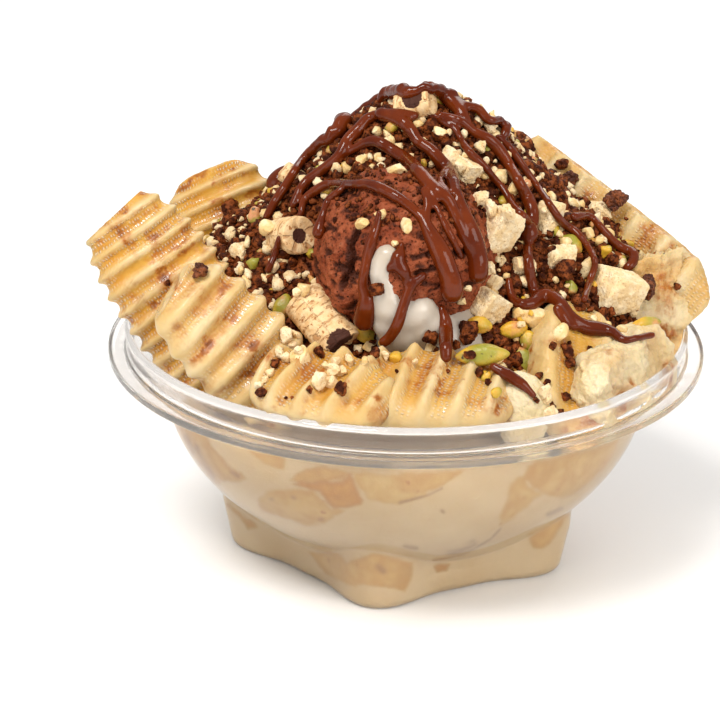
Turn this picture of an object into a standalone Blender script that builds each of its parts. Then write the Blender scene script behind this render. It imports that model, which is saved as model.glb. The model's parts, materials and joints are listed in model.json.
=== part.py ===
"""A fruit salad served as a dessert: crinkle-cut banana, cream and chocolate ice cream in a clear bowl.

Metres, +Z up. The origin is the middle of the underside of the bowl's star foot, and the shown side
faces -Y. The bowl is a thin clear shell. Inside it stand the filling, the banana slabs, the scoop, the
white cream and the heap of crumbs with its sauce, and biscuits, pistachios and nuts lie on top.
"""

import random
from math import cos, exp, pi, radians, sin, tau

import bmesh
import bpy
from mathutils import Euler, Matrix, Vector, noise
from mathutils.bvhtree import BVHTree

# Driving sizes of the bowl
FLANGE_RADIUS = 0.0900
BOWL_HEIGHT = 0.0730
BODY_RADIUS = 0.0732
BODY_DEPTH = 0.0548
BODY_WIDEST = 0.0527
BODY_POWER = 1.78
BODY_TOP = 0.0580
BODY_UNDER = 0.0035
WALL = 0.0010
GAP = 0.0003
BOWL_STEPS = 32
SCREW_MERGE = 0.0001

# The rim from the top down, as radius and height: a bead, the upright band, the flange with its lip and
# the shoulder
RIM_OUTSIDE = (
    (0.0840, BOWL_HEIGHT), (0.0852, 0.0718), (0.0844, 0.0692), (0.0848, 0.0648), (0.0886, 0.0652),
    (FLANGE_RADIUS, 0.0660), (FLANGE_RADIUS, 0.0630), (0.0830, 0.0626), (0.0768, 0.0612),
)
BAND_INSIDE = 0.0844
RIM_INSIDE = ((BAND_INSIDE, 0.0640), (0.0794, 0.0624), (0.0764, 0.0612))
INSIDE_RISE = 0.7
BODY_LEVELS = (0.0580, 0.0500, 0.0400, 0.0300, 0.0210, 0.0140, 0.0080)

# The star foot
FOOT_CORNERS = 5
FOOT_MEAN = 0.0463
FOOT_POINT = 0.0054
FOOT_ROUNDING = 0.0012
FOOT_TURN = radians(-100)
FOOT_DRAFT = 0.0030
FOOT_SHOULDER = 0.0150
FOOT_TOP = 0.0240
FOOT_TOP_DRAFT = 0.0034
FOOT_EDGE = 0.0024
FOOT_STEPS = 40

# What fills the bowl
FILL_TOP = 0.0575
HEAP_CENTRE = Vector((0.0045, 0.0120, 0.0))
HEAP_FOOT = FILL_TOP + GAP
HEAP_TOP = 0.1388
HEAP_RADII = (0.0740, 0.0660)
HEAP_SHELF = 0.0230
HEAP_SIDE_LIFT = 0.0150
HEAP_SPREAD = 0.0395
HEAP_FALL = 2.2
HEAP_EDGE = 8
HEAP_STEPS = 24
HEAP_RINGS = (0.995, 0.97, 0.90, 0.80, 0.66, 0.52, 0.39, 0.26, 0.12)
HEAP_LUMPS = 0.0018
HEAP_LUMPS_PER_METRE = 90

# The scoop and the cream in front of it
SCOOP_CENTRE = Vector((-0.0010, -0.0230, 0.1000))
SCOOP_RADIUS = 0.0270
CREAM_CENTRE = Vector((0.0060, -0.0340, 0.0790))
CREAM_SIZE = Vector((0.0210, 0.0170, 0.0170))
SCOOP_UNEVEN = 0.10
SCOOP_DETAIL = 3

# Crumbs and sauce on the heap, as sizes in metres and shares
CRUMB_COUNT = 38
CRUMB_RADIUS = (0.0018, 0.0032)
CRUMB_STRETCH = (0.8, 1.3)
CRUMB_UNEVEN = 0.5
CRUMB_DETAIL = 1
CRUMB_RISE = 0.3
CRUMB_REACH = 0.92
CRUMB_OUTWARD = 0.6
CRUMB_CLEAR = 0.001
OVERHEAD = Vector((0, 0, 0.1))
SAUCE_RISE = 0.30

# Unevenness of the pieces and how they lie, as shares of their size
PIECE_DETAIL = 2
STAND_OFF = 0.24
LUMPS_PER_BALL = 1.8
LUMP_SHIFT = Vector((3.7, 1.3, 0))
CHUNK_UNEVEN = 0.28
CHUNK_LUMPS = 2.3
CHUNK_SHIFT = 5.1
PISTACHIO_UNEVEN = 0.12
BROWNIE_UNEVEN = 0.3
BROWNIE_RISE = 0.75
ROLL_SIDES = 12
BISCUIT_CORNERS = 0.16
NUT_CORNERS = 0.22
ROOM_SCALE = 1.15

# A slab's room, in gaps beyond its outline and its faces
ROOM_BEYOND = 3
ROOM_THICKER = 2

# Faces within this angle are joined, and points within this distance
FLAT_WITHIN = radians(1.0)
WELD = 1e-6

# The view that the places were measured in: a pixel there is a sight line, and a piece lies where it meets
# the food
VIEW_PIXELS = 720
VIEW_FOCAL = 2800
VIEW_RISE = radians(22.4)
VIEW_ROLL = radians(0.7)
VIEW_TARGET = Vector((-0.0138, 0.0, 0.0586))
VIEW_DISTANCE = 0.853
MIDDLE_PIXEL = (430, 290)
DRAW_IN = 0.01

# A direction that runs along no face, for telling whether a point is inside
ANY_WAY = Vector((0.31, 0.17, 0.93))
SEED = 7

# The outline of a slab is a superellipse, and its cuts run past it
SLAB_POWER = 2.4
SLAB_SIDES = 16
CUT_BEYOND = 1.15

# Each slab: the pixel and depth of its middle, then roll, lean and yaw in degrees, then width, length and
# thickness, then the pitch and depth of its ridges (no pitch is a plain cut) and their skew in degrees
SLABS = {
    "banana_slab_front_b": (
        (432, 394, -0.066), (-84, 66, 6), (0.026, 0.048, 0.012), (0.0086, 0.0028, 18)),
    "banana_slab_front_a": (
        (322, 392, -0.068), (-86, 66, -16), (0.024, 0.042, 0.012), (0.0086, 0.0028, 18)),
    "banana_slab_front_c": (
        (476, 390, -0.050), (-50, 50, 20), (0.024, 0.034, 0.010), (0.0086, 0.0022, 10)),
    "banana_slab_front_left": (
        (241, 352, -0.046), (-38, 25, 25), (0.030, 0.060, 0.012), (0.0080, 0.0026, 0)),
    "banana_slab_left": (
        (190, 315, -0.016), (-34, 20, 5), (0.034, 0.084, 0.011), (0.0066, 0.0024, 0)),
    "banana_slab_rear_left": (
        (250, 270, 0.022), (-24, 22, 0), (0.034, 0.068, 0.011), (0.0066, 0.0022, 0)),
    "banana_slab_right_front": (
        (622, 384, -0.042), (84, 12, 52), (0.028, 0.044, 0.013), (0, 0, 0)),
    "banana_slab_middle": (
        (572, 372, -0.046), (24, 48, 28), (0.026, 0.046, 0.012), (0, 0, 0)),
    "banana_slab_right": (
        (652, 314, -0.004), (14, 20, 30), (0.030, 0.052, 0.012), (0, 0, 0)),
    "banana_slab_rear_right": (
        (590, 240, 0.020), (-64, 24, -27), (0.036, 0.086, 0.012), (0.0110, 0.0018, 0)),
}
# The unseen back is finished like the front, with slabs at these angles round the bowl
REAR_SLABS = (62, 100, 138)
REAR_RADIUS = 0.0650
REAR_HEIGHTS = (0.0850, 0.0840, 0.0670)
REAR_LEAN = 14
REAR_ROLLS = (-8, 3, 9)
REAR_SIZE = (0.032, 0.056, 0.011)
REAR_RIDGES = (0.0095, 0.0022, 0)

# The whitish end of a banana that stands upright at the front
TIP_PLACE = (522, 413, -0.064)
TIP_SIZE = (0.0074, 0.0074, 0.0120)
TIP_UNEVEN = 0.08

# Wafer rolls: pixel, then the angle of the axis in the view and its tilt towards the viewer, then width
# and length
WAFER_ROLLS = (
    ((326, 327), (-50, 20), (0.0130, 0.0200)),
    ((295, 240), (0, 62), (0.0112, 0.0120)),
    ((416, 108), (12, 20), (0.0082, 0.0112)),
    ((299, 182), (-35, 15), (0.0064, 0.0090)),
)
# Biscuit pieces: pixel, then three turns in degrees, then the size
BISCUITS = (
    ((610, 297), (10, 20, 30), (0.0130, 0.0120, 0.0120)),
    ((545, 222), (8, 10, 60), (0.0064, 0.0060, 0.0112)),
    ((559, 261), (30, 15, 20), (0.0082, 0.0070, 0.0070)),
    ((599, 214), (20, 40, 10), (0.0070, 0.0060, 0.0070)),
    ((492, 231), (12, 25, 35), (0.0112, 0.0090, 0.0122)),
    ((463, 174), (25, 10, 50), (0.0072, 0.0062, 0.0078)),
    ((489, 308), (15, 30, 45), (0.0098, 0.0080, 0.0082)),
    ((521, 270), (40, 5, 20), (0.0060, 0.0054, 0.0082)),
)
# Pistachios: pixel, then the angle of the long axis in the view, then length and thickness
PISTACHIOS = (
    ((480, 358), 4, (0.0152, 0.0064)),
    ((523, 362), -58, (0.0096, 0.0062)),
    ((284, 310), 70, (0.0086, 0.0058)),
    ((365, 334), -50, (0.0074, 0.0056)),
    ((646, 329), 12, (0.0092, 0.0048)),
    ((434, 103), -30, (0.0070, 0.0060)),
    ((568, 247), -35, (0.0076, 0.0058)),
    ((512, 331), 10, (0.0088, 0.0052)),
    ((529, 343), -55, (0.0074, 0.0056)),
    ((477, 325), -8, (0.0078, 0.0050)),
)
# Nut pieces: pixel, then three turns in degrees, then the size
NUTS = (
    ((539, 321), (20, 10, 15), (0.0100, 0.0060, 0.0072)),
    ((585, 270), (10, 15, 10), (0.0050, 0.0046, 0.0086)),
    ((300, 363), (15, 25, 20), (0.0062, 0.0050, 0.0082)),
    ((395, 176), (30, 20, 40), (0.0066, 0.0048, 0.0060)),
    ((513, 192), (15, 30, 50), (0.0062, 0.0046, 0.0064)),
)
# Brownie chunks that lie on the bananas: pixel and size
BROWNIES = (
    ((200, 271), 0.0024),
    ((616, 198), 0.0035),
    ((642, 285), 0.0035),
    ((575, 181), 0.0028),
)
# Ropes of sauce: the width in metres, then the pixels they run through from the top down
SAUCE = (
    (0.0036, (388, 95), (363, 115), (336, 122), (322, 142), (300, 166), (284, 192), (268, 214)),
    (0.0040, (402, 100), (385, 115), (352, 137), (335, 164), (307, 189)),
    (0.0042, (385, 115), (421, 134), (437, 154), (454, 180), (465, 216), (471, 245), (477, 268)),
    (0.0038, (336, 166), (353, 149), (390, 144), (420, 172), (436, 194), (456, 219), (468, 238)),
    (0.0040, (298, 211), (320, 195), (357, 186), (396, 198), (424, 226), (436, 250), (449, 284)),
    (0.0040, (330, 196), (324, 212), (318, 232)),
    (0.0034, (402, 97), (420, 88), (443, 100), (461, 112), (477, 136), (505, 161), (525, 192), (536, 227)),
    (0.0030, (418, 104), (450, 125), (470, 151), (495, 180), (519, 210), (532, 222), (531, 262),
     (534, 292)),
    (0.0028, (461, 106), (482, 109), (495, 120), (504, 128), (522, 164), (544, 196), (571, 229), (594, 257),
     (585, 298)),
    (0.0028, (574, 218), (602, 229), (622, 248), (633, 262)),
    (0.0036, (509, 284), (521, 308), (547, 296), (571, 316), (603, 329), (632, 338), (650, 336)),
    (0.0036, (496, 368), (510, 374), (525, 384), (535, 395)),
)


def sight_line(px, py):
    """The eye and the direction of the line that the view draws at this pixel."""
    back = Vector((0, -cos(VIEW_RISE), sin(VIEW_RISE)))
    right, up = Vector((1, 0, 0)), Vector((0, sin(VIEW_RISE), cos(VIEW_RISE)))
    turned_right = right * cos(VIEW_ROLL) + up * sin(VIEW_ROLL)
    turned_up = up * cos(VIEW_ROLL) - right * sin(VIEW_ROLL)
    across, down = px - VIEW_PIXELS / 2, py - VIEW_PIXELS / 2
    direction = (turned_right * across - turned_up * down) / VIEW_FOCAL - back
    return VIEW_TARGET + back * VIEW_DISTANCE, direction.normalized()


def seen_at(px, py, y):
    """The point of a sight line that lies at this depth, y."""
    eye, direction = sight_line(px, py)
    return eye + direction * ((y - eye.y) / direction.y)


def body_radius(z):
    """The round body is a superellipse, widest just under its shoulder."""
    drop = min(abs(BODY_WIDEST - z) / BODY_DEPTH, 1.0)
    return BODY_RADIUS * (1 - drop**BODY_POWER) ** (1 / BODY_POWER)


def foot_radius(angle):
    """The outline of the star foot, with rounded corners and slightly hollow sides."""
    turn = FOOT_CORNERS * (angle - FOOT_TURN)
    return FOOT_MEAN + FOOT_POINT * cos(turn) + FOOT_ROUNDING * cos(2 * turn)


def material(name, colour, roughness, clear=False):
    made = bpy.data.materials.new(name)
    made.use_nodes = True
    shader = made.node_tree.nodes["Principled BSDF"]
    shader.inputs["Base Color"].default_value = (*colour, 1)
    shader.inputs["Roughness"].default_value = roughness
    shader.inputs["Metallic"].default_value = 0
    shader.inputs["Transmission Weight"].default_value = 1.0 if clear else 0.0
    return made


def collection(name):
    made = bpy.data.collections.new(name)
    bpy.context.scene.collection.children.link(made)
    return made


def add_object(name, mesh, home):
    made = bpy.data.objects.new(name, mesh)
    home.objects.link(made)
    return made


def mesh_from(bm, name):
    bmesh.ops.recalc_face_normals(bm, faces=bm.faces)
    mesh = bpy.data.meshes.new(name)
    bm.to_mesh(mesh)
    bm.free()
    return mesh


def evaluated_mesh(obj):
    """The object's mesh with its modifiers applied, or a curve's surface with its caps welded on."""
    graph = bpy.context.evaluated_depsgraph_get()
    mesh = bpy.data.meshes.new_from_object(obj.evaluated_get(graph))
    bm = bmesh.new()
    bm.from_mesh(mesh)
    bmesh.ops.remove_doubles(bm, verts=bm.verts, dist=WELD)
    bmesh.ops.dissolve_limit(bm, angle_limit=FLAT_WITHIN, verts=bm.verts, edges=bm.edges)
    bmesh.ops.triangulate(bm, faces=bm.faces)
    bmesh.ops.recalc_face_normals(bm, faces=bm.faces)
    bm.to_mesh(mesh)
    bm.free()
    return mesh


def remove(obj):
    bpy.data.objects.remove(obj, do_unlink=True)


def turned(name, profile, steps, home):
    """A closed turned solid. The profile runs down the outer side at +X and starts and ends on the axis."""
    mesh = bpy.data.meshes.new(name)
    points = [(radius, 0, height) for radius, height in profile]
    mesh.from_pydata(points, [(i, i + 1) for i in range(len(points) - 1)], [])
    made = add_object(name, mesh, home)
    screw = made.modifiers.new("turn", "SCREW")
    screw.steps = steps
    screw.render_steps = steps
    screw.use_merge_vertices = True
    screw.merge_threshold = SCREW_MERGE
    made.data = evaluated_mesh(made)
    made.modifiers.clear()
    return made


def lofted(name, rings, home):
    """A closed loft through rings of equally many points, with a flat cap at each end."""
    bm = bmesh.new()
    loops = [[bm.verts.new(point) for point in ring] for ring in rings]
    for lower, upper in zip(loops, loops[1:]):
        for i in range(len(lower)):
            j = (i + 1) % len(lower)
            bm.faces.new((lower[i], lower[j], upper[j], upper[i]))
    bm.faces.new(loops[0][::-1])
    bm.faces.new(loops[-1])
    return add_object(name, mesh_from(bm, name), home)


def combine(target, others, operation):
    """One Boolean on a collection of others, applied to the target; the others stay as they are."""
    if not others:
        return
    tools = collection("tools for " + target.name)
    for other in others:
        tools.objects.link(other)
    boolean = target.modifiers.new("combine", "BOOLEAN")
    boolean.operation = operation
    boolean.operand_type = "COLLECTION"
    boolean.collection = tools
    boolean.solver = "MANIFOLD"
    bpy.context.view_layer.update()
    mesh = evaluated_mesh(target)
    target.modifiers.clear()
    target.data = mesh
    bpy.data.collections.remove(tools)


def signed_volume(faces):
    corners = ([vert.co for vert in face.verts] for face in faces)
    return sum(a.dot(b.cross(c)) for a, b, c in corners) / 6


def keep_largest(obj):
    """Drops the loose scraps that a cut leaves, and fills sealed hollows."""
    bm = bmesh.new()
    bm.from_mesh(obj.data)
    left = set(bm.faces)
    islands = []
    while left:
        start = left.pop()
        island, front = [start], [start]
        while front:
            near = {face for edge in front.pop().edges for face in edge.link_faces} & left
            left -= near
            island.extend(near)
            front.extend(near)
        islands.append(island)
    islands.sort(key=lambda island: -abs(signed_volume(island)))
    scraps = [face for island in islands[1:] for face in island]
    bmesh.ops.delete(bm, geom=scraps, context="FACES")
    bm.to_mesh(obj.data)
    bm.free()


def ball_room(name, size, place, home):
    """A plain ball of few faces that holds an uneven one, to cut room for it in what lies round it."""
    bm = bmesh.new()
    bmesh.ops.create_icosphere(bm, subdivisions=PIECE_DETAIL, radius=ROOM_SCALE)
    for vert in bm.verts:
        vert.co = place @ Vector([co * reach for co, reach in zip(vert.co, size)])
    return add_object(name + " room", mesh_from(bm, name), home)


def set_down(piece, place, home):
    """Puts a piece where it belongs. Its room is the box that holds it, a gap larger."""
    corners = [vert.co for vert in piece.data.vertices]
    low = [min(corner[i] for corner in corners) - GAP for i in range(3)]
    high = [max(corner[i] for corner in corners) + GAP for i in range(3)]
    bm = bmesh.new()
    bmesh.ops.create_cube(bm, size=2)
    for vert in bm.verts:
        vert.co = place @ Vector([high[i] if vert.co[i] > 0 else low[i] for i in range(3)])
    piece.data.transform(place)
    return piece, add_object(piece.name + " room", mesh_from(bm, piece.name), home)


def rim_profile(inset, top):
    if inset == 0:
        return list(RIM_OUTSIDE)
    inside = [(radius - inset, height + inset * INSIDE_RISE) for radius, height in RIM_INSIDE]
    return [(BAND_INSIDE - inset, top)] + inside


def bowl_form(name, inset, top, home):
    """The bowl's outer form, moved in by inset and closed at the height top."""
    rim = rim_profile(inset, top) if top > BODY_TOP else [(body_radius(top) - inset, top)]
    body = [(body_radius(z) - inset, z) for z in BODY_LEVELS if z < top]
    under = BODY_UNDER + inset
    profile = [(0, top)] + rim + body + [(body_radius(BODY_UNDER) - inset, under), (0, under)]
    form = turned(name, profile, BOWL_STEPS, home)
    foot = star_form(name + " foot", inset, home)
    combine(form, [foot], "UNION")
    remove(foot)
    return form


def star_form(name, inset, home):
    """The star foot: upright walls that spread a little and close into the round body."""
    def ring(z, grow):
        angles = [tau * i / FOOT_STEPS for i in range(FOOT_STEPS)]
        radii = [foot_radius(angle) + grow - inset for angle in angles]
        return [(r * cos(a), r * sin(a), z) for r, a in zip(radii, angles)]

    return lofted(name, [
        ring(inset, -FOOT_EDGE), ring(inset + FOOT_EDGE, 0), ring(FOOT_SHOULDER, FOOT_DRAFT),
        ring(FOOT_TOP, FOOT_TOP_DRAFT),
    ], home)


def make_bowl(parts, helpers):
    """One clear shell, as if pressed from a single sheet: its foot is hollow and filled as well."""
    bowl = bowl_form("bowl", 0, BOWL_HEIGHT, parts)
    hollow = bowl_form("bowl hollow", WALL, BOWL_HEIGHT + WALL, helpers)
    combine(bowl, [hollow], "DIFFERENCE")
    remove(hollow)
    keep_largest(bowl)
    return bowl


def bowl_room(helpers):
    """The bowl's wall, a gap thicker inwards, which trims what stands against it."""
    wall = bowl_form("bowl room", 0, BOWL_HEIGHT, helpers)
    hollow = bowl_form("bowl room hollow", WALL + GAP, BOWL_HEIGHT + WALL, helpers)
    combine(wall, [hollow], "DIFFERENCE")
    remove(hollow)
    return wall


def outline_block(name, width, length, thickness, home):
    """A slab's outline, a rounded oval, as an upright block: width along X, length along Z."""
    bm = bmesh.new()
    bmesh.ops.create_cone(bm, cap_ends=True, segments=SLAB_SIDES, radius1=1, radius2=1, depth=thickness)
    for vert in bm.verts:
        flat = vert.co.copy()
        reach = (abs(flat.x) ** SLAB_POWER + abs(flat.y) ** SLAB_POWER) ** (-1 / SLAB_POWER)
        vert.co = Vector((flat.x * reach * width / 2, -flat.z, flat.y * reach * length / 2))
    return add_object(name, mesh_from(bm, name), home)


def crinkled_sheet(name, thickness, pitch, depth, reach, skew, home):
    """A sheet between two parallel wavy cuts. Its ridges run along X, turned by skew about Y."""
    count = int(2 * reach / pitch) * 2 + 2
    start = -count / 4 * pitch
    steps = [(start + pitch / 2 * i, depth / 2 * (-1) ** i) for i in range(count + 1)]
    outline = [(z, wave - thickness / 2) for z, wave in steps]
    outline += [(z, wave + thickness / 2) for z, wave in reversed(steps)]
    curve = bpy.data.curves.new(name, "CURVE")
    curve.dimensions = "2D"
    curve.fill_mode = "BOTH"
    curve.extrude = reach
    spline = curve.splines.new("POLY")
    spline.points.add(len(outline) - 1)
    for point, (z, y) in zip(spline.points, outline):
        point.co = (z, y, 0, 1)
    spline.use_cyclic_u = True
    sheet = add_object(name, curve, home)
    mesh = evaluated_mesh(sheet)
    remove(sheet)
    mesh.transform(Matrix.Rotation(skew, 4, "Y") @ Matrix.Rotation(pi / 2, 4, "Y"))
    return add_object(name, mesh, home)


def turn_to(roll, lean, yaw):
    """Roll turns a slab in its own plane, lean tips it back and yaw turns it to the side."""
    turn = Euler((0, 0, radians(yaw))).to_matrix() @ Euler((radians(-lean), 0, 0)).to_matrix()
    return (turn @ Euler((0, radians(roll), 0)).to_matrix()).to_4x4()


def slab(name, place, size, ridges, parts, helpers):
    """A banana slab, cut along the fruit: an oval block between two wavy cuts or two plain ones."""
    width, length, thickness = size
    pitch, wave, skew = ridges
    block = outline_block(name, width, length, thickness + 2 * wave, parts)
    if pitch:
        reach = max(width, length) / 2 * CUT_BEYOND
        sheet = crinkled_sheet(name + " cut", thickness, pitch, wave, reach, radians(skew), helpers)
        combine(block, [sheet], "INTERSECT")
        remove(sheet)
    beyond = ROOM_BEYOND * GAP
    thicker = thickness + wave + ROOM_THICKER * GAP
    room = outline_block(name + " room", width + beyond, length + beyond, thicker, helpers)
    block.data.transform(place)
    room.data.transform(place)
    return block, room


def make_slabs(parts, helpers):
    made = []
    for name, (middle, turn, size, ridges) in SLABS.items():
        place = Matrix.Translation(seen_at(*middle)) @ turn_to(*turn)
        made.append(slab(name, place, size, ridges, parts, helpers))
    for i, degrees in enumerate(REAR_SLABS):
        angle = radians(degrees)
        middle = Vector((REAR_RADIUS * cos(angle), REAR_RADIUS * sin(angle), REAR_HEIGHTS[i]))
        place = Matrix.Translation(middle) @ turn_to(REAR_ROLLS[i], REAR_LEAN, degrees - 90)
        made.append(slab(f"banana_slab_rear_{i + 1}", place, REAR_SIZE, REAR_RIDGES, parts, helpers))
    return made


def lumpy_ball(name, size, divisions, lumps, seed, home):
    """An uneven ball of this radius on each axis, for a scoop, a dollop or a crumb, not yet placed."""
    bm = bmesh.new()
    bmesh.ops.create_icosphere(bm, subdivisions=divisions, radius=1)
    for vert in bm.verts:
        swell = 1 + lumps * noise.noise(vert.co * LUMPS_PER_BALL + seed * LUMP_SHIFT)
        vert.co = Vector([co * radius * swell for co, radius in zip(vert.co, size)])
    return add_object(name, mesh_from(bm, name), home)


def placed_ball(name, size, middle, divisions, lumps, seed, parts, helpers):
    place = Matrix.Translation(middle)
    ball = lumpy_ball(name, size, divisions, lumps, seed, parts)
    ball.data.transform(place)
    return ball, ball_room(name, size, place, helpers)


def heap_point(share, angle):
    """A point of the heap, at a share of its radius: a steep dome on a shelf that rises at the sides."""
    flat = Vector((HEAP_RADII[0] * share * cos(angle), HEAP_RADII[1] * share * sin(angle), 0))
    edge = (1 - share**HEAP_EDGE) ** 0.5
    shelf = HEAP_SHELF + HEAP_SIDE_LIFT * cos(angle) ** 2
    dome = (HEAP_TOP - HEAP_FOOT - shelf) * exp(-((flat.length / HEAP_SPREAD) ** HEAP_FALL))
    return HEAP_CENTRE + flat + Vector((0, 0, HEAP_FOOT + (shelf + dome) * edge))


def make_core(parts):
    """The heap without its crumbs and sauce."""
    angles = [tau * i / HEAP_STEPS for i in range(HEAP_STEPS)]

    def lumpy(share, angle):
        point = heap_point(share, angle)
        return point + Vector((0, 0, HEAP_LUMPS * noise.noise(point * HEAP_LUMPS_PER_METRE)))

    outer = [[lumpy(share, angle) for angle in angles] for share in HEAP_RINGS]
    base = [Vector((point.x, point.y, HEAP_FOOT)) for point in outer[0]]
    return lofted("crumb_heap", [base] + outer, parts)


def surface(objects):
    """One tree of the faces of several objects, for finding where a sight line meets the food."""
    points, faces = [], []
    for obj in objects:
        start = len(points)
        points += [vert.co.copy() for vert in obj.data.vertices]
        faces += [[start + i for i in poly.vertices] for poly in obj.data.polygons]
    return BVHTree.FromPolygons(points, faces)


def met(tree, px, py):
    """Where the sight line of a pixel meets the food, and the way the food faces there.

    A line that just passes the food is drawn in towards the middle of the view until it meets it.
    """
    eye, direction = sight_line(px, py)
    place, normal, _, _ = tree.ray_cast(eye, direction)
    while place is None:
        px, py = px + (MIDDLE_PIXEL[0] - px) * DRAW_IN, py + (MIDDLE_PIXEL[1] - py) * DRAW_IN
        eye, direction = sight_line(px, py)
        place, normal, _, _ = tree.ray_cast(eye, direction)
    if normal.dot(direction) > 0:
        normal = -normal
    return place, normal


def add_crumbs(heap, whole, core, helpers):
    """Crumbs that lie on the heap where it is bare."""
    draw = random.Random(SEED)
    crumbs = []
    while len(crumbs) < CRUMB_COUNT:
        share = draw.uniform(0, CRUMB_REACH) ** CRUMB_OUTWARD
        above = heap_point(share, draw.uniform(0, tau)) + OVERHEAD
        place = core.ray_cast(above, -OVERHEAD)[0]
        top = whole.ray_cast(above, -OVERHEAD)[0]
        if (top - place).length > CRUMB_CLEAR:
            continue
        radius = draw.uniform(*CRUMB_RADIUS)
        size = [radius * draw.uniform(*CRUMB_STRETCH) for _ in range(3)]
        crumb = lumpy_ball("crumb", size, CRUMB_DETAIL, CRUMB_UNEVEN, len(crumbs), helpers)
        turn = Euler([draw.uniform(0, tau) for _ in range(3)]).to_matrix().to_4x4()
        crumb.data.transform(Matrix.Translation(place + Vector((0, 0, radius * CRUMB_RISE))) @ turn)
        crumbs.append(crumb)
    return crumbs


def sauce_rope(width, pixels, whole, helpers):
    """A rope of sauce, half sunk in what it runs over, with a blunt end."""
    curve = bpy.data.curves.new("sauce", "CURVE")
    curve.dimensions = "3D"
    curve.bevel_depth = width / 2
    curve.bevel_resolution = 0
    curve.use_fill_caps = True
    spline = curve.splines.new("POLY")
    spline.points.add(len(pixels) - 1)
    for point, pixel in zip(spline.points, pixels):
        place, normal = met(whole, *pixel)
        point.co = (*(place + normal * width * SAUCE_RISE), 1)
    rope = add_object("sauce", curve, helpers)
    mesh = evaluated_mesh(rope)
    remove(rope)
    return add_object("sauce", mesh, helpers)


def make_heap(heap, whole, core, helpers):
    pieces = add_crumbs(heap, whole, core, helpers)
    pieces += [sauce_rope(width, pixels, whole, helpers) for width, *pixels in SAUCE]
    combine(heap, pieces, "UNION")
    for piece in pieces:
        remove(piece)


def rested(whole, pixel, turn, rise):
    """Where a piece lies on the food at a pixel: rise is how far its middle stands off the surface."""
    place, normal = met(whole, *pixel)
    return Matrix.Translation(place + normal * rise) @ turn


def view_turn(degrees, tilt=0):
    """Turns a piece's X axis by an angle in the view's plane, then tips its far end towards the viewer."""
    in_view = Matrix.Rotation(-radians(degrees), 4, "Y")
    return Matrix.Rotation(-VIEW_RISE, 4, "X") @ in_view @ Matrix.Rotation(-radians(tilt), 4, "Z")


def make_rolls(whole, parts, helpers):
    made = []
    for i, (pixel, (angle, tilt), (width, length)) in enumerate(WAFER_ROLLS):
        place = rested(whole, pixel, view_turn(angle, tilt), STAND_OFF * width)
        radius = width / 2
        bm = bmesh.new()
        bmesh.ops.create_cone(
            bm, cap_ends=True, segments=ROLL_SIDES, radius1=radius, radius2=radius, depth=length
        )
        bmesh.ops.transform(bm, verts=bm.verts, matrix=Matrix.Rotation(pi / 2, 4, "Y"))
        name = f"wafer_roll_{i + 1}"
        made.append(set_down(add_object(name, mesh_from(bm, name), parts), place, helpers))
    return made


def make_chunks(kind, table, bevel, whole, parts, helpers):
    """Broken pieces, each an uneven block with its corners knocked off."""
    made = []
    for i, (pixel, degrees, size) in enumerate(table):
        turn = Euler([radians(angle) for angle in degrees]).to_matrix().to_4x4()
        place = rested(whole, pixel, turn, STAND_OFF * min(size))
        bm = bmesh.new()
        bmesh.ops.create_cube(bm, size=1)
        shift = Vector((i * CHUNK_SHIFT, 0, len(kind)))
        for vert in bm.verts:
            spread = 1 + CHUNK_UNEVEN * noise.noise(vert.co * CHUNK_LUMPS + shift)
            vert.co = Vector([co * side * spread for co, side in zip(vert.co, size)])
        corners = bm.edges[:] + bm.verts[:]
        bmesh.ops.bevel(bm, geom=corners, offset=bevel * min(size), segments=1, affect="EDGES")
        name = f"{kind}_{i + 1}"
        made.append(set_down(add_object(name, mesh_from(bm, name), parts), place, helpers))
    return made


def make_pistachios(whole, parts, helpers):
    made = []
    for i, (pixel, angle, (length, thick)) in enumerate(PISTACHIOS):
        size = (length / 2, thick / 2, thick / 2)
        place = rested(whole, pixel, view_turn(angle), STAND_OFF * thick)
        kernel = lumpy_ball(f"pistachio_{i + 1}", size, PIECE_DETAIL, PISTACHIO_UNEVEN, i, parts)
        made.append(set_down(kernel, place, helpers))
    return made


def make_brownies(whole, parts, helpers):
    made = []
    for i, (pixel, radius) in enumerate(BROWNIES):
        place = rested(whole, pixel, Matrix.Identity(4), radius * BROWNIE_RISE)
        chunk = lumpy_ball(f"brownie_{i + 1}", [radius] * 3, PIECE_DETAIL, BROWNIE_UNEVEN, i, parts)
        made.append(set_down(chunk, place, helpers))
    return made


def touches(first, second):
    """Whether two meshes cross, or one lies inside the other."""
    trees = [surface([obj]) for obj in (first, second)]
    if trees[0].overlap(trees[1]):
        return True
    corner = first.data.vertices[0].co
    hit, normal, _, _ = trees[1].ray_cast(corner, ANY_WAY)
    return hit is not None and normal.dot(ANY_WAY) > 0


def fit_together(pairs):
    """Each piece gives way to those before it in the list: their rooms are cut from it."""
    for i, (target, _) in enumerate(pairs):
        cutters = [room for _, room in pairs[:i] if room and touches(room, target)]
        combine(target, cutters, "DIFFERENCE")
        if cutters:
            keep_largest(target)


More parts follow.
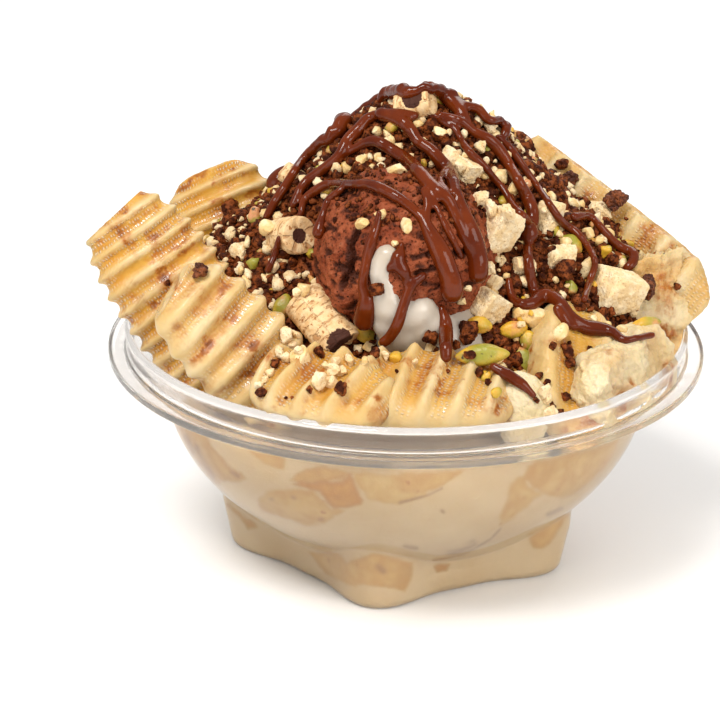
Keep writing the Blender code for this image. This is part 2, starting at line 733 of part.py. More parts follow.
def paint(parts):
    """Each sub-part's own finish, by the start of its name."""
    finishes = {
        "bowl": ((0.95, 0.94, 0.92), 0.08, True),
        "filling": ((0.93, 0.86, 0.68), 0.45, False),
        "banana": ((0.90, 0.76, 0.45), 0.45, False),
        "chocolate_scoop": ((0.17, 0.06, 0.035), 0.75, False),
        "white_cream": ((0.90, 0.88, 0.80), 0.35, False),
        "crumb_heap": ((0.05, 0.02, 0.015), 0.80, False),
        "wafer_roll": ((0.80, 0.60, 0.32), 0.80, False),
        "biscuit": ((0.84, 0.68, 0.42), 0.85, False),
        "pistachio": ((0.40, 0.42, 0.06), 0.50, False),
        "nut": ((0.86, 0.74, 0.48), 0.60, False),
        "brownie": ((0.05, 0.02, 0.015), 0.80, False),
    }
    made = {start: material(start, *finish) for start, finish in finishes.items()}
    for obj in parts.objects:
        start = next(start for start in finishes if obj.name.startswith(start))
        obj.data.materials.clear()
        obj.data.materials.append(made[start])


def main():
    for old in list(bpy.data.objects):
        bpy.data.objects.remove(old, do_unlink=True)
    parts, helpers = collection("fruit salad"), collection("helpers")
    helpers.hide_render = True
    bowl = make_bowl(parts, helpers)
    wall = bowl_room(helpers)
    slabs = make_slabs(parts, helpers)
    tip_middle = seen_at(*TIP_PLACE)
    slabs.append(
        placed_ball("banana_tip", TIP_SIZE, tip_middle, PIECE_DETAIL, TIP_UNEVEN, SEED, parts, helpers)
    )
    scoop_size = [SCOOP_RADIUS] * 3
    scoop = placed_ball(
        "chocolate_scoop", scoop_size, SCOOP_CENTRE, SCOOP_DETAIL, SCOOP_UNEVEN, SEED + 1, parts, helpers
    )
    cream = placed_ball(
        "white_cream", CREAM_SIZE, CREAM_CENTRE, PIECE_DETAIL, SCOOP_UNEVEN, SEED + 2, parts, helpers
    )
    heap = make_core(parts)
    core = surface([heap])
    whole = surface([heap, scoop[0], cream[0]] + [made for made, _ in slabs])
    make_heap(heap, whole, core, helpers)
    toppings = make_rolls(whole, parts, helpers)
    toppings += make_chunks("biscuit", BISCUITS, BISCUIT_CORNERS, whole, parts, helpers)
    toppings += make_pistachios(whole, parts, helpers)
    toppings += make_chunks("nut", NUTS, NUT_CORNERS, whole, parts, helpers)
    toppings += make_brownies(whole, parts, helpers)
    filling = bowl_form("filling", WALL + GAP, FILL_TOP, parts)
    fit_together([(bowl, wall)] + toppings + slabs + [scoop, cream, (heap, None), (filling, None)])
    for helper in list(helpers.objects):
        remove(helper)
    paint(parts)


main()
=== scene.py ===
# %% [markdown]
# # A fruit salad in a clear bowl
# Crinkle-cut slabs of banana stand round a heap of brownie crumbs, with a scoop of chocolate ice cream, soft white
# cream and warm chocolate sauce, all in a clear bowl on a star foot. The CAD model holds each piece as a plain
# solid of the right size and place. This lesson dresses them: it makes the finish of every surface and the fine
# shapes that the solids leave out.

# %% Load the frame
import json
from math import cos, exp, pi, radians, sin, sqrt, tau

import bmesh
import bpy
import numpy as np
from mathutils import Euler, Matrix, Vector, noise
from mathutils.bvhtree import BVHTree

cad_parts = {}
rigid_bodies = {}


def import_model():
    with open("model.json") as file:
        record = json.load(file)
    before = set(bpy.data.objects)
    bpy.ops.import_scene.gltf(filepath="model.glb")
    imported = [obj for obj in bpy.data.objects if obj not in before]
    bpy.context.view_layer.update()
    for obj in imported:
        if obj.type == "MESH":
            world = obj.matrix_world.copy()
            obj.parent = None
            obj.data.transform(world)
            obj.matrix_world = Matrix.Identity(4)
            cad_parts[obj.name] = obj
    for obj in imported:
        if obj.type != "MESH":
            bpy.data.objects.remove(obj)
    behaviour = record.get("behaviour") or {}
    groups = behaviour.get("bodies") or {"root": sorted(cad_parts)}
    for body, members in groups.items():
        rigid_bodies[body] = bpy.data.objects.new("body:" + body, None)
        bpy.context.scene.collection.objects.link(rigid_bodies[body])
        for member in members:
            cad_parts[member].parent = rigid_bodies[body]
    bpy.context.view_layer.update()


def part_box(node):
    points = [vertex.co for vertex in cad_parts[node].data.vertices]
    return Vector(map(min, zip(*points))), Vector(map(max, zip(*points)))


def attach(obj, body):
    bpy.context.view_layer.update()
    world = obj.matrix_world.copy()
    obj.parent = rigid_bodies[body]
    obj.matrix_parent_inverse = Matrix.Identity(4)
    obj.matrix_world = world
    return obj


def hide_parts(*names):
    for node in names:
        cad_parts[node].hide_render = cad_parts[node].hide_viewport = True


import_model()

# %% [markdown]
# ## The view
# The camera is the photograph's: a long lens from a little above. Many small things, such as a drip of sauce, are
# placed by the pixel where they show. A pixel is a sight line, and the thing lies where that line meets the food,
# so it rests on something from every side.

# %% Camera
VIEW_PIXELS = 720
VIEW_FOCAL = 2800
VIEW_RISE = radians(22.4)
VIEW_ROLL = radians(0.7)
VIEW_TARGET = Vector((-0.0138, 0.0, 0.0586))
VIEW_DISTANCE = 0.853
SENSOR = 36.0

back = Vector((0, -cos(VIEW_RISE), sin(VIEW_RISE)))
level, upright = Vector((1, 0, 0)), Vector((0, sin(VIEW_RISE), cos(VIEW_RISE)))
view_right = level * cos(VIEW_ROLL) + upright * sin(VIEW_ROLL)
view_up = upright * cos(VIEW_ROLL) - level * sin(VIEW_ROLL)
EYE = VIEW_TARGET + back * VIEW_DISTANCE
EYE_POINT = np.array(EYE)

camera_data = bpy.data.cameras.new("camera")
camera_data.sensor_width = SENSOR
camera_data.lens = VIEW_FOCAL * SENSOR / VIEW_PIXELS
camera_data.clip_start = 0.01
camera = bpy.data.objects.new("camera", camera_data)
camera.matrix_world = Matrix.Translation(EYE) @ Matrix((view_right, view_up, back)).transposed().to_4x4()
bpy.context.scene.collection.objects.link(camera)
bpy.context.scene.camera = camera
print("lens", round(camera_data.lens), "mm, eye at", [round(co, 3) for co in EYE])


# %% Sight lines
def sight_line(px, py):
    """The direction in which the camera sees this pixel."""
    across, down = px - VIEW_PIXELS / 2, py - VIEW_PIXELS / 2
    return ((view_right * across - view_up * down) / VIEW_FOCAL - back).normalized()


def seen_at(px, py, y):
    """The point of a sight line that lies at this depth, y."""
    direction = sight_line(px, py)
    return EYE + direction * ((y - EYE.y) / direction.y)


print("the middle pixel looks at", [round(co, 3) for co in seen_at(360, 360, 0)])

# %% [markdown]
# ## Floor and light
# The photograph is a bright, soft studio shot on white. One big softbox hangs above and to the left, and gives the
# sauce its long highlights. Weaker ones fill from the right, low from the left and from behind, and the white
# surroundings do the rest.

# %% Floor
FLOOR_SIZE = 12.0
FLOOR_GREY = 0.94
FLOOR_ROUGHNESS = 0.6

floor_mesh = bpy.data.meshes.new("floor")
half = FLOOR_SIZE / 2
corners = [(-half, -half, 0), (half, -half, 0), (half, half, 0), (-half, half, 0)]
floor_mesh.from_pydata(corners, [], [(0, 1, 2, 3)])
floor = bpy.data.objects.new("floor", floor_mesh)
bpy.context.scene.collection.objects.link(floor)
floor_paint = bpy.data.materials.new("floor")
floor_paint.use_nodes = True
floor_shader = floor_paint.node_tree.nodes["Principled BSDF"]
floor_shader.inputs["Base Color"].default_value = (FLOOR_GREY, FLOOR_GREY, FLOOR_GREY, 1)
floor_shader.inputs["Roughness"].default_value = FLOOR_ROUGHNESS
floor_mesh.materials.append(floor_paint)
print("the floor is", FLOOR_SIZE, "m across")

# %% Lights
SURROUND = 0.47
SOFTBOXES = {
    "key": {"place": (-0.38, -0.50, 1.20), "size": 0.45, "watts": 12.8},
    "left": {"place": (-0.95, -0.75, 0.40), "size": 0.7, "watts": 2.6},
    "fill": {"place": (0.90, -0.95, 0.75), "size": 0.8, "watts": 10.0},
    "back": {"place": (0.30, 1.10, 0.90), "size": 0.8, "watts": 6.0},
}
SOFTBOX_COLOUR = (1.0, 0.97, 0.93)
LIT_POINT = Vector((0, 0, 0.07))

world = bpy.data.worlds.new("studio")
world.use_nodes = True
world.node_tree.nodes["Background"].inputs["Color"].default_value = (1, 1, 1, 1)
world.node_tree.nodes["Background"].inputs["Strength"].default_value = SURROUND
bpy.context.scene.world = world
for name, box in SOFTBOXES.items():
    light = bpy.data.lights.new(name, "AREA")
    light.energy = box["watts"]
    light.size = box["size"]
    light.color = SOFTBOX_COLOUR
    lamp = bpy.data.objects.new(name, light)
    aim = (LIT_POINT - Vector(box["place"])).to_track_quat("-Z", "Y")
    lamp.matrix_world = Matrix.Translation(box["place"]) @ aim.to_matrix().to_4x4()
    bpy.context.scene.collection.objects.link(lamp)
bpy.context.scene.view_settings.view_transform = "Standard"
print("lights:", ", ".join(SOFTBOXES))

# %% [markdown]
# ## Helpers
# Two small tools serve the whole lesson. The first builds node trees, for shaders and for Geometry Nodes, in short
# lines. The second finishes a piece: it says on which body the piece rides and which CAD nodes it stands for.


# %% Node trees
class Wires:
    """Adds nodes to a tree. A value that is a socket is linked, and any other value is set."""

    def __init__(self, tree):
        self.tree = tree

    def add(self, kind, values=None, **settings):
        node = self.tree.nodes.new(kind)
        for key, value in settings.items():
            setattr(node, key, value)
        for key, value in (values or {}).items():
            if isinstance(value, bpy.types.NodeSocket):
                self.tree.links.new(value, node.inputs[key])
            else:
                node.inputs[key].default_value = value
        return node

    def math(self, operation, *values, clamp=False):
        return self.add("ShaderNodeMath", dict(enumerate(values)), operation=operation, use_clamp=clamp).outputs[0]

    def plus(self, first, second, **clamp):
        return self.math("ADD", first, second, **clamp)

    def times(self, first, second, **clamp):
        return self.math("MULTIPLY", first, second, **clamp)

    def line(self, value, slope, start, **clamp):
        """The value times the slope, plus the start."""
        return self.math("MULTIPLY_ADD", value, slope, start, **clamp)

    def rest(self, value, **clamp):
        """What the value leaves of 1."""
        return self.math("SUBTRACT", 1.0, value, **clamp)

    def minus(self, first, second):
        return self.math("SUBTRACT", first, second)

    def power(self, value, exponent):
        return self.math("POWER", value, exponent)

    def vector(self, operation, first, second):
        return self.add("ShaderNodeVectorMath", {0: first, 1: second}, operation=operation).outputs[0]

    def scale(self, vector, amount):
        return self.add("ShaderNodeVectorMath", {0: vector, "Scale": amount}, operation="SCALE").outputs[0]

    def ramp(self, value, low, high, smooth=False):
        """0 below low, 1 above high."""
        kind = "SMOOTHSTEP" if smooth else "LINEAR"
        node = self.add("ShaderNodeMapRange", {"Value": value, "From Min": low, "From Max": high},
                        interpolation_type=kind)
        return node.outputs[0]

    def mix(self, share, first, second):
        """The second colour over the first, by share."""
        first, second = ((*colour, 1) if isinstance(colour, tuple) else colour for colour in (first, second))
        return self.add("ShaderNodeMix", {0: share, 6: first, 7: second}, data_type="RGBA").outputs[2]


def socket_kind(value):
    """The type of socket that holds a value like this one."""
    if isinstance(value, tuple):
        return "NodeSocketVector"
    return "NodeSocketInt" if isinstance(value, int) else "NodeSocketFloat"


def new_tree(name, kind, inputs, outputs):
    """A node tree, its wires, the sockets that it is given and the node that it ends in."""
    tree = bpy.data.node_groups.new(name, kind)
    for label, value in inputs.items():
        if value is None:
            tree.interface.new_socket(label, in_out="INPUT", socket_type="NodeSocketGeometry")
        else:
            tree.interface.new_socket(label, in_out="INPUT", socket_type=socket_kind(value)).default_value = value
    for label, socket_type in outputs.items():
        tree.interface.new_socket(label, in_out="OUTPUT", socket_type=socket_type)
    given = tree.nodes.new("NodeGroupInput").outputs
    print("tree", name)
    return tree, Wires(tree), given, tree.nodes.new("NodeGroupOutput")


print("a whole number goes into a", socket_kind(1))

# %% Objects and pieces
def add_object(name, mesh):
    made = bpy.data.objects.new(name, mesh)
    bpy.context.scene.collection.objects.link(made)
    return made


def add_form(name, points, faces, material=None):
    """A mesh object of these points and faces."""
    mesh = bpy.data.meshes.new(name)
    mesh.from_pydata([tuple(point) for point in points], [], faces)
    if material:
        mesh.materials.append(material)
    return add_object(name, mesh)


def joined(parts):
    """The points and faces of several forms, as those of one."""
    points, faces, start = [], [], 0
    for some_points, some_faces in parts:
        points.append(some_points)
        faces += [tuple(start + i for i in face) for face in some_faces]
        start += len(some_points)
    return np.concatenate(points), faces


def outwards(obj):
    """Turns all faces of a closed form outwards."""
    bm = bmesh.new()
    bm.from_mesh(obj.data)
    bmesh.ops.recalc_face_normals(bm, faces=bm.faces)
    bm.to_mesh(obj.data)
    bm.free()
    return obj


def plain_mesh(obj):
    """Turns what an object's modifiers make of it into its own plain mesh."""
    graph = bpy.context.evaluated_depsgraph_get()
    mesh = bpy.data.meshes.new_from_object(
        obj.evaluated_get(graph), preserve_all_data_layers=True, depsgraph=graph
    )
    obj.modifiers.clear()
    obj.data = mesh
    return obj


def grow(obj, tree, values):
    """Runs a Geometry Nodes tree on an object with these values, and keeps the result."""
    modifier = obj.modifiers.new(tree.name, "NODES")
    modifier.node_group = tree
    for item in tree.interface.items_tree:
        if item.item_type == "SOCKET" and item.in_out == "INPUT" and item.name in values:
            modifier[item.identifier] = values[item.name]
    return plain_mesh(obj)


# %% Points of a mesh
def read_vectors(items, key):
    flat = np.empty(len(items) * 3, np.float32)
    items.foreach_get(key, flat)
    return flat.reshape(-1, 3).astype(float)


def points_of(mesh):
    return read_vectors(mesh.vertices, "co")


def normals_of(mesh):
    return read_vectors(mesh.vertex_normals, "vector")


def move_points(mesh, points):
    mesh.vertices.foreach_set("co", points.astype(np.float32).ravel())
    mesh.update()


def store(mesh, name, values):
    """Keeps one number for each point of a mesh, for its material to read."""
    layer = mesh.attributes.new(name, "FLOAT", "POINT")
    layer.data.foreach_set("value", np.asarray(values, np.float32))


def fractal(points, size, octaves=3, shift=0.0):
    """Smooth noise of about this feature size in metres, between about -1 and 1, at each point."""
    offset = Vector((shift, shift * 0.7, -shift * 1.3))
    return np.array([noise.fractal(Vector(point) / size + offset, 1.0, 2.0, octaves) for point in points])


def cell_gaps(points, size):
    """How far each point is from the nearest of many scattered ones, in steps of their spacing."""
    return np.array([noise.voronoi(Vector(point) / size)[0][0] for point in points])


def turned(points, turn):
    return points @ np.array(turn).T


def smooth_step(value, low, high):
    share = np.clip((value - low) / (high - low), 0, 1)
    return share * share * (3 - 2 * share)


def finish(piece, slot, *nodes):
    """The piece rides on the one body and stands for these CAD nodes. The slot is not used."""
    for polygon in piece.data.polygons:
        polygon.use_smooth = True
    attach(piece, "root")
    if nodes:
        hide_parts(*nodes)
    print(piece.name, len(piece.data.polygons), "faces")
    return piece


def surface(objects):
    """One tree of the faces of several objects, for finding where a line meets them."""
    points, faces = [], []
    for obj in objects:
        start = len(points)
        points += [vert.co.copy() for vert in obj.data.vertices]
        faces += [[start + i for i in poly.vertices] for poly in obj.data.polygons]
    return BVHTree.FromPolygons(points, faces)


print("the noise is", fractal(np.ones((1, 3)), 1.0)[0].round(3), "at the first point")

# %% [markdown]
# ## Effects that several finishes share
# Food is never one colour. Three small shader groups carry most of that: soft patches of a second colour, a fine
# grain that roughens the surface, and pores, the small pits of baked and frozen things. Each is made once, with
# named inputs, and every material below sets them to its own scale.


# %% Shader group: patches
def patches_group():
    """A soft-edged mask of uneven patches."""
    inputs = {"Scale": 100.0, "Detail": 3.0, "Cut": 0.5, "Softness": 0.1}
    tree, w, given, out = new_tree("patches", "ShaderNodeTree", inputs, {"Mask": "NodeSocketFloat"})
    place = w.add("ShaderNodeTexCoord").outputs["Object"]
    cloud = w.add("ShaderNodeTexNoise", {"Vector": place, "Scale": given["Scale"], "Detail": given["Detail"]})
    low = w.minus(given["Cut"], given["Softness"])
    high = w.plus(given["Cut"], given["Softness"])
    w.tree.links.new(w.ramp(cloud.outputs["Fac"], low, high, smooth=True), out.inputs["Mask"])
    return tree


patches = patches_group()


# %% Shader group: grain
def grain_group():
    """A layer of fine relief: the mask of its grains and the normal that they give."""
    inputs = {"Scale": 1000.0, "Detail": 3.0, "Depth": 0.0001, "Normal": (0.0, 0.0, 1.0)}
    outputs = {"Mask": "NodeSocketFloat", "Normal": "NodeSocketVector"}
    tree, w, given, out = new_tree("grain", "ShaderNodeTree", inputs, outputs)
    place = w.add("ShaderNodeTexCoord").outputs["Object"]
    cloud = w.add("ShaderNodeTexNoise", {"Vector": place, "Scale": given["Scale"], "Detail": given["Detail"]})
    bump = w.add("ShaderNodeBump", {
        "Height": cloud.outputs["Fac"], "Distance": given["Depth"], "Normal": given["Normal"],
    })
    w.tree.links.new(cloud.outputs["Fac"], out.inputs["Mask"])
    w.tree.links.new(bump.outputs["Normal"], out.inputs["Normal"])
    return tree


grain = grain_group()


# %% Shader group: pores
def pores_group():
    """Small round pits, or beads where the depth is below zero."""
    inputs = {"Scale": 800.0, "Size": 0.35, "Depth": 0.0002, "Normal": (0.0, 0.0, 1.0)}
    outputs = {"Mask": "NodeSocketFloat", "Normal": "NodeSocketVector"}
    tree, w, given, out = new_tree("pores", "ShaderNodeTree", inputs, outputs)
    place = w.add("ShaderNodeTexCoord").outputs["Object"]
    cells = w.add("ShaderNodeTexVoronoi", {"Vector": place, "Scale": given["Scale"]}, feature="F1")
    far = w.ramp(cells.outputs["Distance"], 0.0, given["Size"], smooth=True)
    bump = w.add("ShaderNodeBump", {"Height": far, "Distance": given["Depth"], "Normal": given["Normal"]})
    w.tree.links.new(w.rest(far), out.inputs["Mask"])
    w.tree.links.new(bump.outputs["Normal"], out.inputs["Normal"])
    return tree


pores = pores_group()


# %% Material helpers
def new_material(name, **values):
    """A material whose uniform values are set on its own Principled BSDF."""
    made = bpy.data.materials.new(name)
    made.use_nodes = True
    shader = made.node_tree.nodes["Principled BSDF"]
    for key, value in values.items():
        shader.inputs[key.replace("_", " ")].default_value = value
    print("material", name)
    return made, Wires(made.node_tree), shader


def effect(w, group, **values):
    """Places a shared group in a material with its own values."""
    return w.add("ShaderNodeGroup", values, node_tree=group).outputs


def bare_normal(w):
    return w.add("ShaderNodeNewGeometry").outputs["Normal"]


def patchy(w, scale, cut, softness, detail=4.0):
    """A mask of uneven patches."""
    return effect(w, patches, Scale=scale, Detail=detail, Cut=cut, Softness=softness)["Mask"]


def grained(w, scale, detail, depth, normal=None):
    """The normal of a grain on the bare surface, or on top of another relief."""
    under = bare_normal(w) if normal is None else normal
    return effect(w, grain, Scale=scale, Detail=detail, Depth=depth, Normal=under)["Normal"]


def stored(w, name):
    return w.add("ShaderNodeAttribute", attribute_name=name).outputs["Fac"]


def paint(w, shader, colour, normal=None, roughness=None):
    for key, socket in (("Base Color", colour), ("Normal", normal), ("Roughness", roughness)):
        if socket is not None:
            w.tree.links.new(socket, shader.inputs[key])

# %% [markdown]
# ## Banana flesh
# A cut banana is a warm cream colour, paler on the crests of the ridges and amber in the grooves. That is partly
# where it has begun to darken and partly painted light and shade. It is moist, and light goes a little way in. The
# groove is a number that the slab's own Geometry Nodes tree stores on each point, so the stains follow the cut.

# %% Banana flesh
BANANA_FRESH = ((0.640, 0.475, 0.200), (0.690, 0.590, 0.390))
BANANA_GOLDEN = ((0.560, 0.250, 0.016), (0.630, 0.370, 0.060))
BANANA_PALE = (0.820, 0.700, 0.470)
TORN_THROUGH = 0.84


def banana_flesh(w, groove, tone, fibres):
    """Golden in the grooves (partly browning, partly painted shade), paler on the crests, in soft patches, palest
    where torn.
    """
    soft = patchy(w, 70.0, 0.5, 0.25, detail=3.0)
    fresh, golden = w.mix(soft, *BANANA_FRESH), w.mix(soft, *BANANA_GOLDEN)
    # The grooves are tinted golden as browning and as painted shade
    groove_gold_and_shade = w.times(tone, w.line(groove, 0.95, 0.40), clamp=True)
    pale = w.times(w.ramp(fibres, TORN_THROUGH, 1.0), w.line(soft, 0.4, 0.25))
    return w.mix(pale, w.mix(groove_gold_and_shade, fresh, golden), BANANA_PALE)


print("fresh banana is", BANANA_FRESH[0], "to", BANANA_FRESH[1])

# %% Banana stains
BANANA_AMBER = (0.410, 0.130, 0.008)
BANANA_BROWN = (0.170, 0.042, 0.004)
SEED_LINE = (0.001, 0.006)


def browned(w, flesh, groove, tone):
    """Flesh with amber stains in its grooves and along its seeds, and how brown the spots in them are."""
    where = patchy(w, 75.0, 0.55, 0.14)
    ragged = patchy(w, 600.0, 0.5, 0.3)
    deep = w.power(w.times(groove, w.line(ragged, 0.35, 0.72)), 2.2)
    off_middle = w.ramp(w.math("ABSOLUTE", stored(w, "across")), *SEED_LINE, smooth=True)
    near_seeds = patchy(w, 120.0, 0.53, 0.08)
    seeded = w.times(w.rest(off_middle), w.times(tone, near_seeds), clamp=True)
    along_seeds = w.times(seeded, w.line(ragged, 0.6, 0.45))
    stain = w.line(deep, w.line(where, 0.90, 0.24), along_seeds, clamp=True)

    # Each brown spot has an amber halo
    brownable = w.line(where, w.power(groove, 0.7), seeded, clamp=True)
    halo = patchy(w, 230.0, 0.53, 0.09, detail=5.0)
    haloed = w.math("MAXIMUM", stain, w.times(halo, w.times(brownable, 2.2, clamp=True)))
    spots = patchy(w, 230.0, 0.62, 0.07, detail=5.0)
    spotted = w.times(spots, w.times(brownable, 1.2, clamp=True))
    tinted = w.mix(haloed, flesh, BANANA_AMBER)
    return w.mix(w.times(spotted, 0.95), tinted, BANANA_BROWN), spotted


print("stains run from", BANANA_AMBER, "to", BANANA_BROWN)

# %% Banana material
# The pale colour of the beads of juice is a painted highlight
BANANA_BEAD_HIGHLIGHT = (0.900, 0.830, 0.660)
BEAD_ROW = 0.0016
BEAD_SPACING = 0.0010
BEAD_HEIGHT = 0.00030


def juice_beads(w, groove, fibres):
    """How high the beads of juice stand that lie in rows beside the grooves, from 0 to 1."""
    rows = w.add("ShaderNodeCombineXYZ", {
        "X": w.math("DIVIDE", stored(w, "across"), BEAD_SPACING),
        "Y": w.math("DIVIDE", stored(w, "along"), BEAD_ROW),
    }).outputs[0]
    cells = w.add("ShaderNodeTexVoronoi", {"Vector": rows, "Scale": 1.0, "Randomness": 0.35},
                  voronoi_dimensions="2D").outputs["Distance"]
    bead = w.rest(w.ramp(cells, 0.10, 0.42, smooth=True))
    wet = patchy(w, 60.0, 0.46, 0.1, detail=3.0)
    beside = w.times(w.ramp(groove, 0.15, 0.4, smooth=True), w.times(wet, w.rest(fibres)))
    return w.times(bead, beside)


def banana_material():
    made, w, shader = new_material("banana", Subsurface_Weight=0.22, Subsurface_Scale=0.0018, Coat_Roughness=0.10,
                                   Specular_IOR_Level=0.35, Subsurface_Radius=(1.0, 0.55, 0.2))
    groove, tone, fibres = stored(w, "groove"), stored(w, "tone"), stored(w, "torn")
    colour, spotted = browned(w, banana_flesh(w, groove, tone, fibres), groove, tone)
    raised = juice_beads(w, groove, fibres)
    # Painted highlights: the beads are mixed towards a pale cream, less on brown spots
    bead_highlighted = w.mix(w.times(raised, w.line(spotted, -0.36, 0.36)), colour, BANANA_BEAD_HIGHLIGHT)
    beads = w.add("ShaderNodeBump", {"Height": raised, "Distance": BEAD_HEIGHT}).outputs["Normal"]

    # The grain of the cut is deeper where the flesh was torn
    depth = w.line(fibres, 0.0009, 0.00032)
    fine = grained(w, 480.0, 5.0, depth, beads)
    paint(w, shader, bead_highlighted, fine, w.line(raised, -0.35, 0.46))
    w.tree.links.new(w.line(raised, 0.8, 0.10), shader.inputs["Coat Weight"])
    return made


banana = banana_material()

# %% [markdown]
# ## Ice cream, cream and sauce
# Chocolate ice cream is matt, with tiny ice pores and torn places where the scoop dragged. The white cream and the
# sauce are smooth: their look is all in a clean highlight and in the light that the cream lets in.

# %% Ice cream material
# Painted shade makes it darker in its tears and pits, and painted light paler on what stands out, by the height that
# the scoop stores
ice_cream, w, shader = new_material("chocolate ice cream", Roughness=0.55, Subsurface_Weight=0.06,
                                    Subsurface_Scale=0.001, Specular_IOR_Level=0.20,
                                    Subsurface_Radius=(1.0, 0.5, 0.3))
height = stored(w, "raised")
soft = patchy(w, 170.0, 0.5, 0.2, detail=5.0)
body = w.mix(soft, (0.205, 0.036, 0.009), (0.330, 0.080, 0.028))
low = w.mix(w.ramp(height, 0.0, 0.5, smooth=True), (0.056, 0.010, 0.002), body)
pit_shade_and_ridge_light = w.mix(w.times(w.ramp(height, 0.5, 1.0, smooth=True), 0.55), low, (0.420, 0.140, 0.066))
pits = effect(w, pores, Scale=950.0, Size=0.40, Depth=0.00045, Normal=bare_normal(w))
# Painted shade in the pores
pore_shaded = w.mix(w.times(pits["Mask"], 0.45), pit_shade_and_ridge_light, (0.036, 0.007, 0.002))
fine = grained(w, 1300.0, 5.0, 0.00060, pits["Normal"])
paint(w, shader, pore_shaded, fine)

# %% Cream material
cream_paint, w, shader = new_material("white cream", Roughness=0.30, Subsurface_Weight=0.30, Subsurface_Scale=0.003,
                                      Coat_Weight=0.25, Coat_Roughness=0.15, Subsurface_Radius=(1.0, 0.8, 0.6))
soft = patchy(w, 90.0, 0.5, 0.2, detail=2.0)
wave = grained(w, 120.0, 2.0, 0.0006)
paint(w, shader, w.mix(soft, (0.500, 0.425, 0.335), (0.570, 0.505, 0.425)), wave)

# %% Sauce material
sauce_paint, w, shader = new_material("chocolate sauce", Roughness=0.20, Coat_Weight=0.35, Coat_Roughness=0.03,
                                      Specular_IOR_Level=0.08, Subsurface_Weight=0.06, Subsurface_Scale=0.001,
                                      Subsurface_Radius=(1.0, 0.35, 0.15))
soft = patchy(w, 110.0, 0.5, 0.25, detail=2.0)
wave = grained(w, 260.0, 2.0, 0.0004)
paint(w, shader, w.mix(soft, (0.086, 0.011, 0.0015), (0.148, 0.023, 0.0025)), wave)

# %% [markdown]
# ## Crumbs, nuts and biscuits
# The crumbs are dry brownie, almost black in their pores, where shade is painted. Nuts, biscuits and wafers are pale
# and matt, and each is browner where it baked. They share one recipe, a body colour with patches, pores darkened with
# painted shade, and grain, so one function makes them all.

# %% Dry food materials
# Each food's dark colour is the painted shade in its pores
DRY_FOODS = {
    "brownie crumb": {"body": (0.044, 0.008, 0.002), "patch": (0.240, 0.060, 0.014), "dark": (0.006, 0.002, 0.001),
                      "patch scale": 520.0, "pore scale": 1500.0, "pore": 0.0004, "roughness": 0.55, "shine": 0.1},
    "brownie": {"body": (0.060, 0.014, 0.005), "patch": (0.230, 0.062, 0.016), "dark": (0.008, 0.003, 0.002),
                "patch scale": 380.0, "pore scale": 1100.0, "pore": 0.0004, "roughness": 0.50, "shine": 0.25},
    "nut": {"body": (0.790, 0.530, 0.210), "patch": (0.880, 0.700, 0.400), "dark": (0.560, 0.300, 0.090),
            "patch scale": 260.0, "pore scale": 900.0, "pore": 0.00004, "roughness": 0.42, "shine": 0.5},
    "biscuit": {"body": (0.810, 0.590, 0.310), "patch": (0.880, 0.720, 0.470), "dark": (0.560, 0.290, 0.100),
                "patch scale": 380.0, "pore scale": 1300.0, "pore": 0.00014, "roughness": 0.75, "shine": 0.3},
}


def dry_material(name, look):
    made, w, shader = new_material(name, Roughness=look["roughness"], Specular_IOR_Level=look["shine"])
    soft = patchy(w, look["patch scale"], 0.52, 0.12)
    body = w.mix(soft, look["body"], look["patch"])
    pits = effect(w, pores, Scale=look["pore scale"], Size=0.42, Depth=look["pore"], Normal=bare_normal(w))
    # Painted shade in the pores
    pore_shaded = w.mix(w.times(pits["Mask"], 0.6), body, look["dark"])
    fine = grained(w, 1800.0, 4.0, 0.00022, pits["Normal"])
    paint(w, shader, pore_shaded, fine)
    return made


dry = {name: dry_material(name, look) for name, look in DRY_FOODS.items()}

# %% Pistachio material
# Green flesh that turns yellow in places, with shreds of the pink skin and a dark line here and there
pistachio_paint, w, shader = new_material("pistachio", Roughness=0.38, Subsurface_Weight=0.1, Subsurface_Scale=0.002)
broad = patchy(w, 95.0, 0.50, 0.14, detail=2.0)
flesh = w.mix(broad, (0.300, 0.280, 0.030), (0.700, 0.400, 0.032))
skin = patchy(w, 150.0, 0.59, 0.08)
colour = w.mix(skin, flesh, (0.620, 0.270, 0.110))
dark = patchy(w, 420.0, 0.69, 0.05, detail=3.0)
fine = grained(w, 700.0, 4.0, 0.00035)
paint(w, shader, w.mix(dark, colour, (0.060, 0.040, 0.010)), fine)

# %% [markdown]
# ## The clear bowl
# The bowl is pressed from one sheet of clear plastic: a round body, five shallow points of foot that grow out of
# it, and a wide flange with an upright rim. Its radius can be written as a function of the height and the angle,
# so one lofted net of rings makes both skins. The wall is real, a millimetre thick, because a clear shell with no
# thickness bends the light wrongly.

# %% Bowl sizes
BODY_RADIUS = 0.0732
BODY_DEPTH = 0.0548
BODY_WIDEST = 0.0527
BODY_POWER = 1.78
BODY_TOP = 0.0580
WALL = 0.0010
RIM_OUTSIDE = (
    (0.0840, 0.0730), (0.0852, 0.0718), (0.0844, 0.0692), (0.0848, 0.0648), (0.0886, 0.0652), (0.0900, 0.0660),
    (0.0900, 0.0630), (0.0830, 0.0626), (0.0768, 0.0612),
)
RIM_INSIDE = ((0.0844, 0.0730), (0.0844, 0.0640), (0.0794, 0.0624), (0.0764, 0.0612))
FOOT_CORNERS = 5
FOOT_MEAN = 0.0463
FOOT_POINT = 0.0054
FOOT_ROUNDING = 0.0012
FOOT_TURN = radians(-100)
FOOT_DRAFT = 0.0030
FOOT_SHOULDER = 0.0150
FOOT_TOP = 0.0240
FOOT_TOP_DRAFT = 0.0034
FOOT_EDGE = 0.0024
BLEND = 0.0016
BOWL_SIDES = 240


def body_radius(z):
    drop = np.minimum(np.abs(BODY_WIDEST - z) / BODY_DEPTH, 1.0)
    return BODY_RADIUS * (1 - drop**BODY_POWER) ** (1 / BODY_POWER)


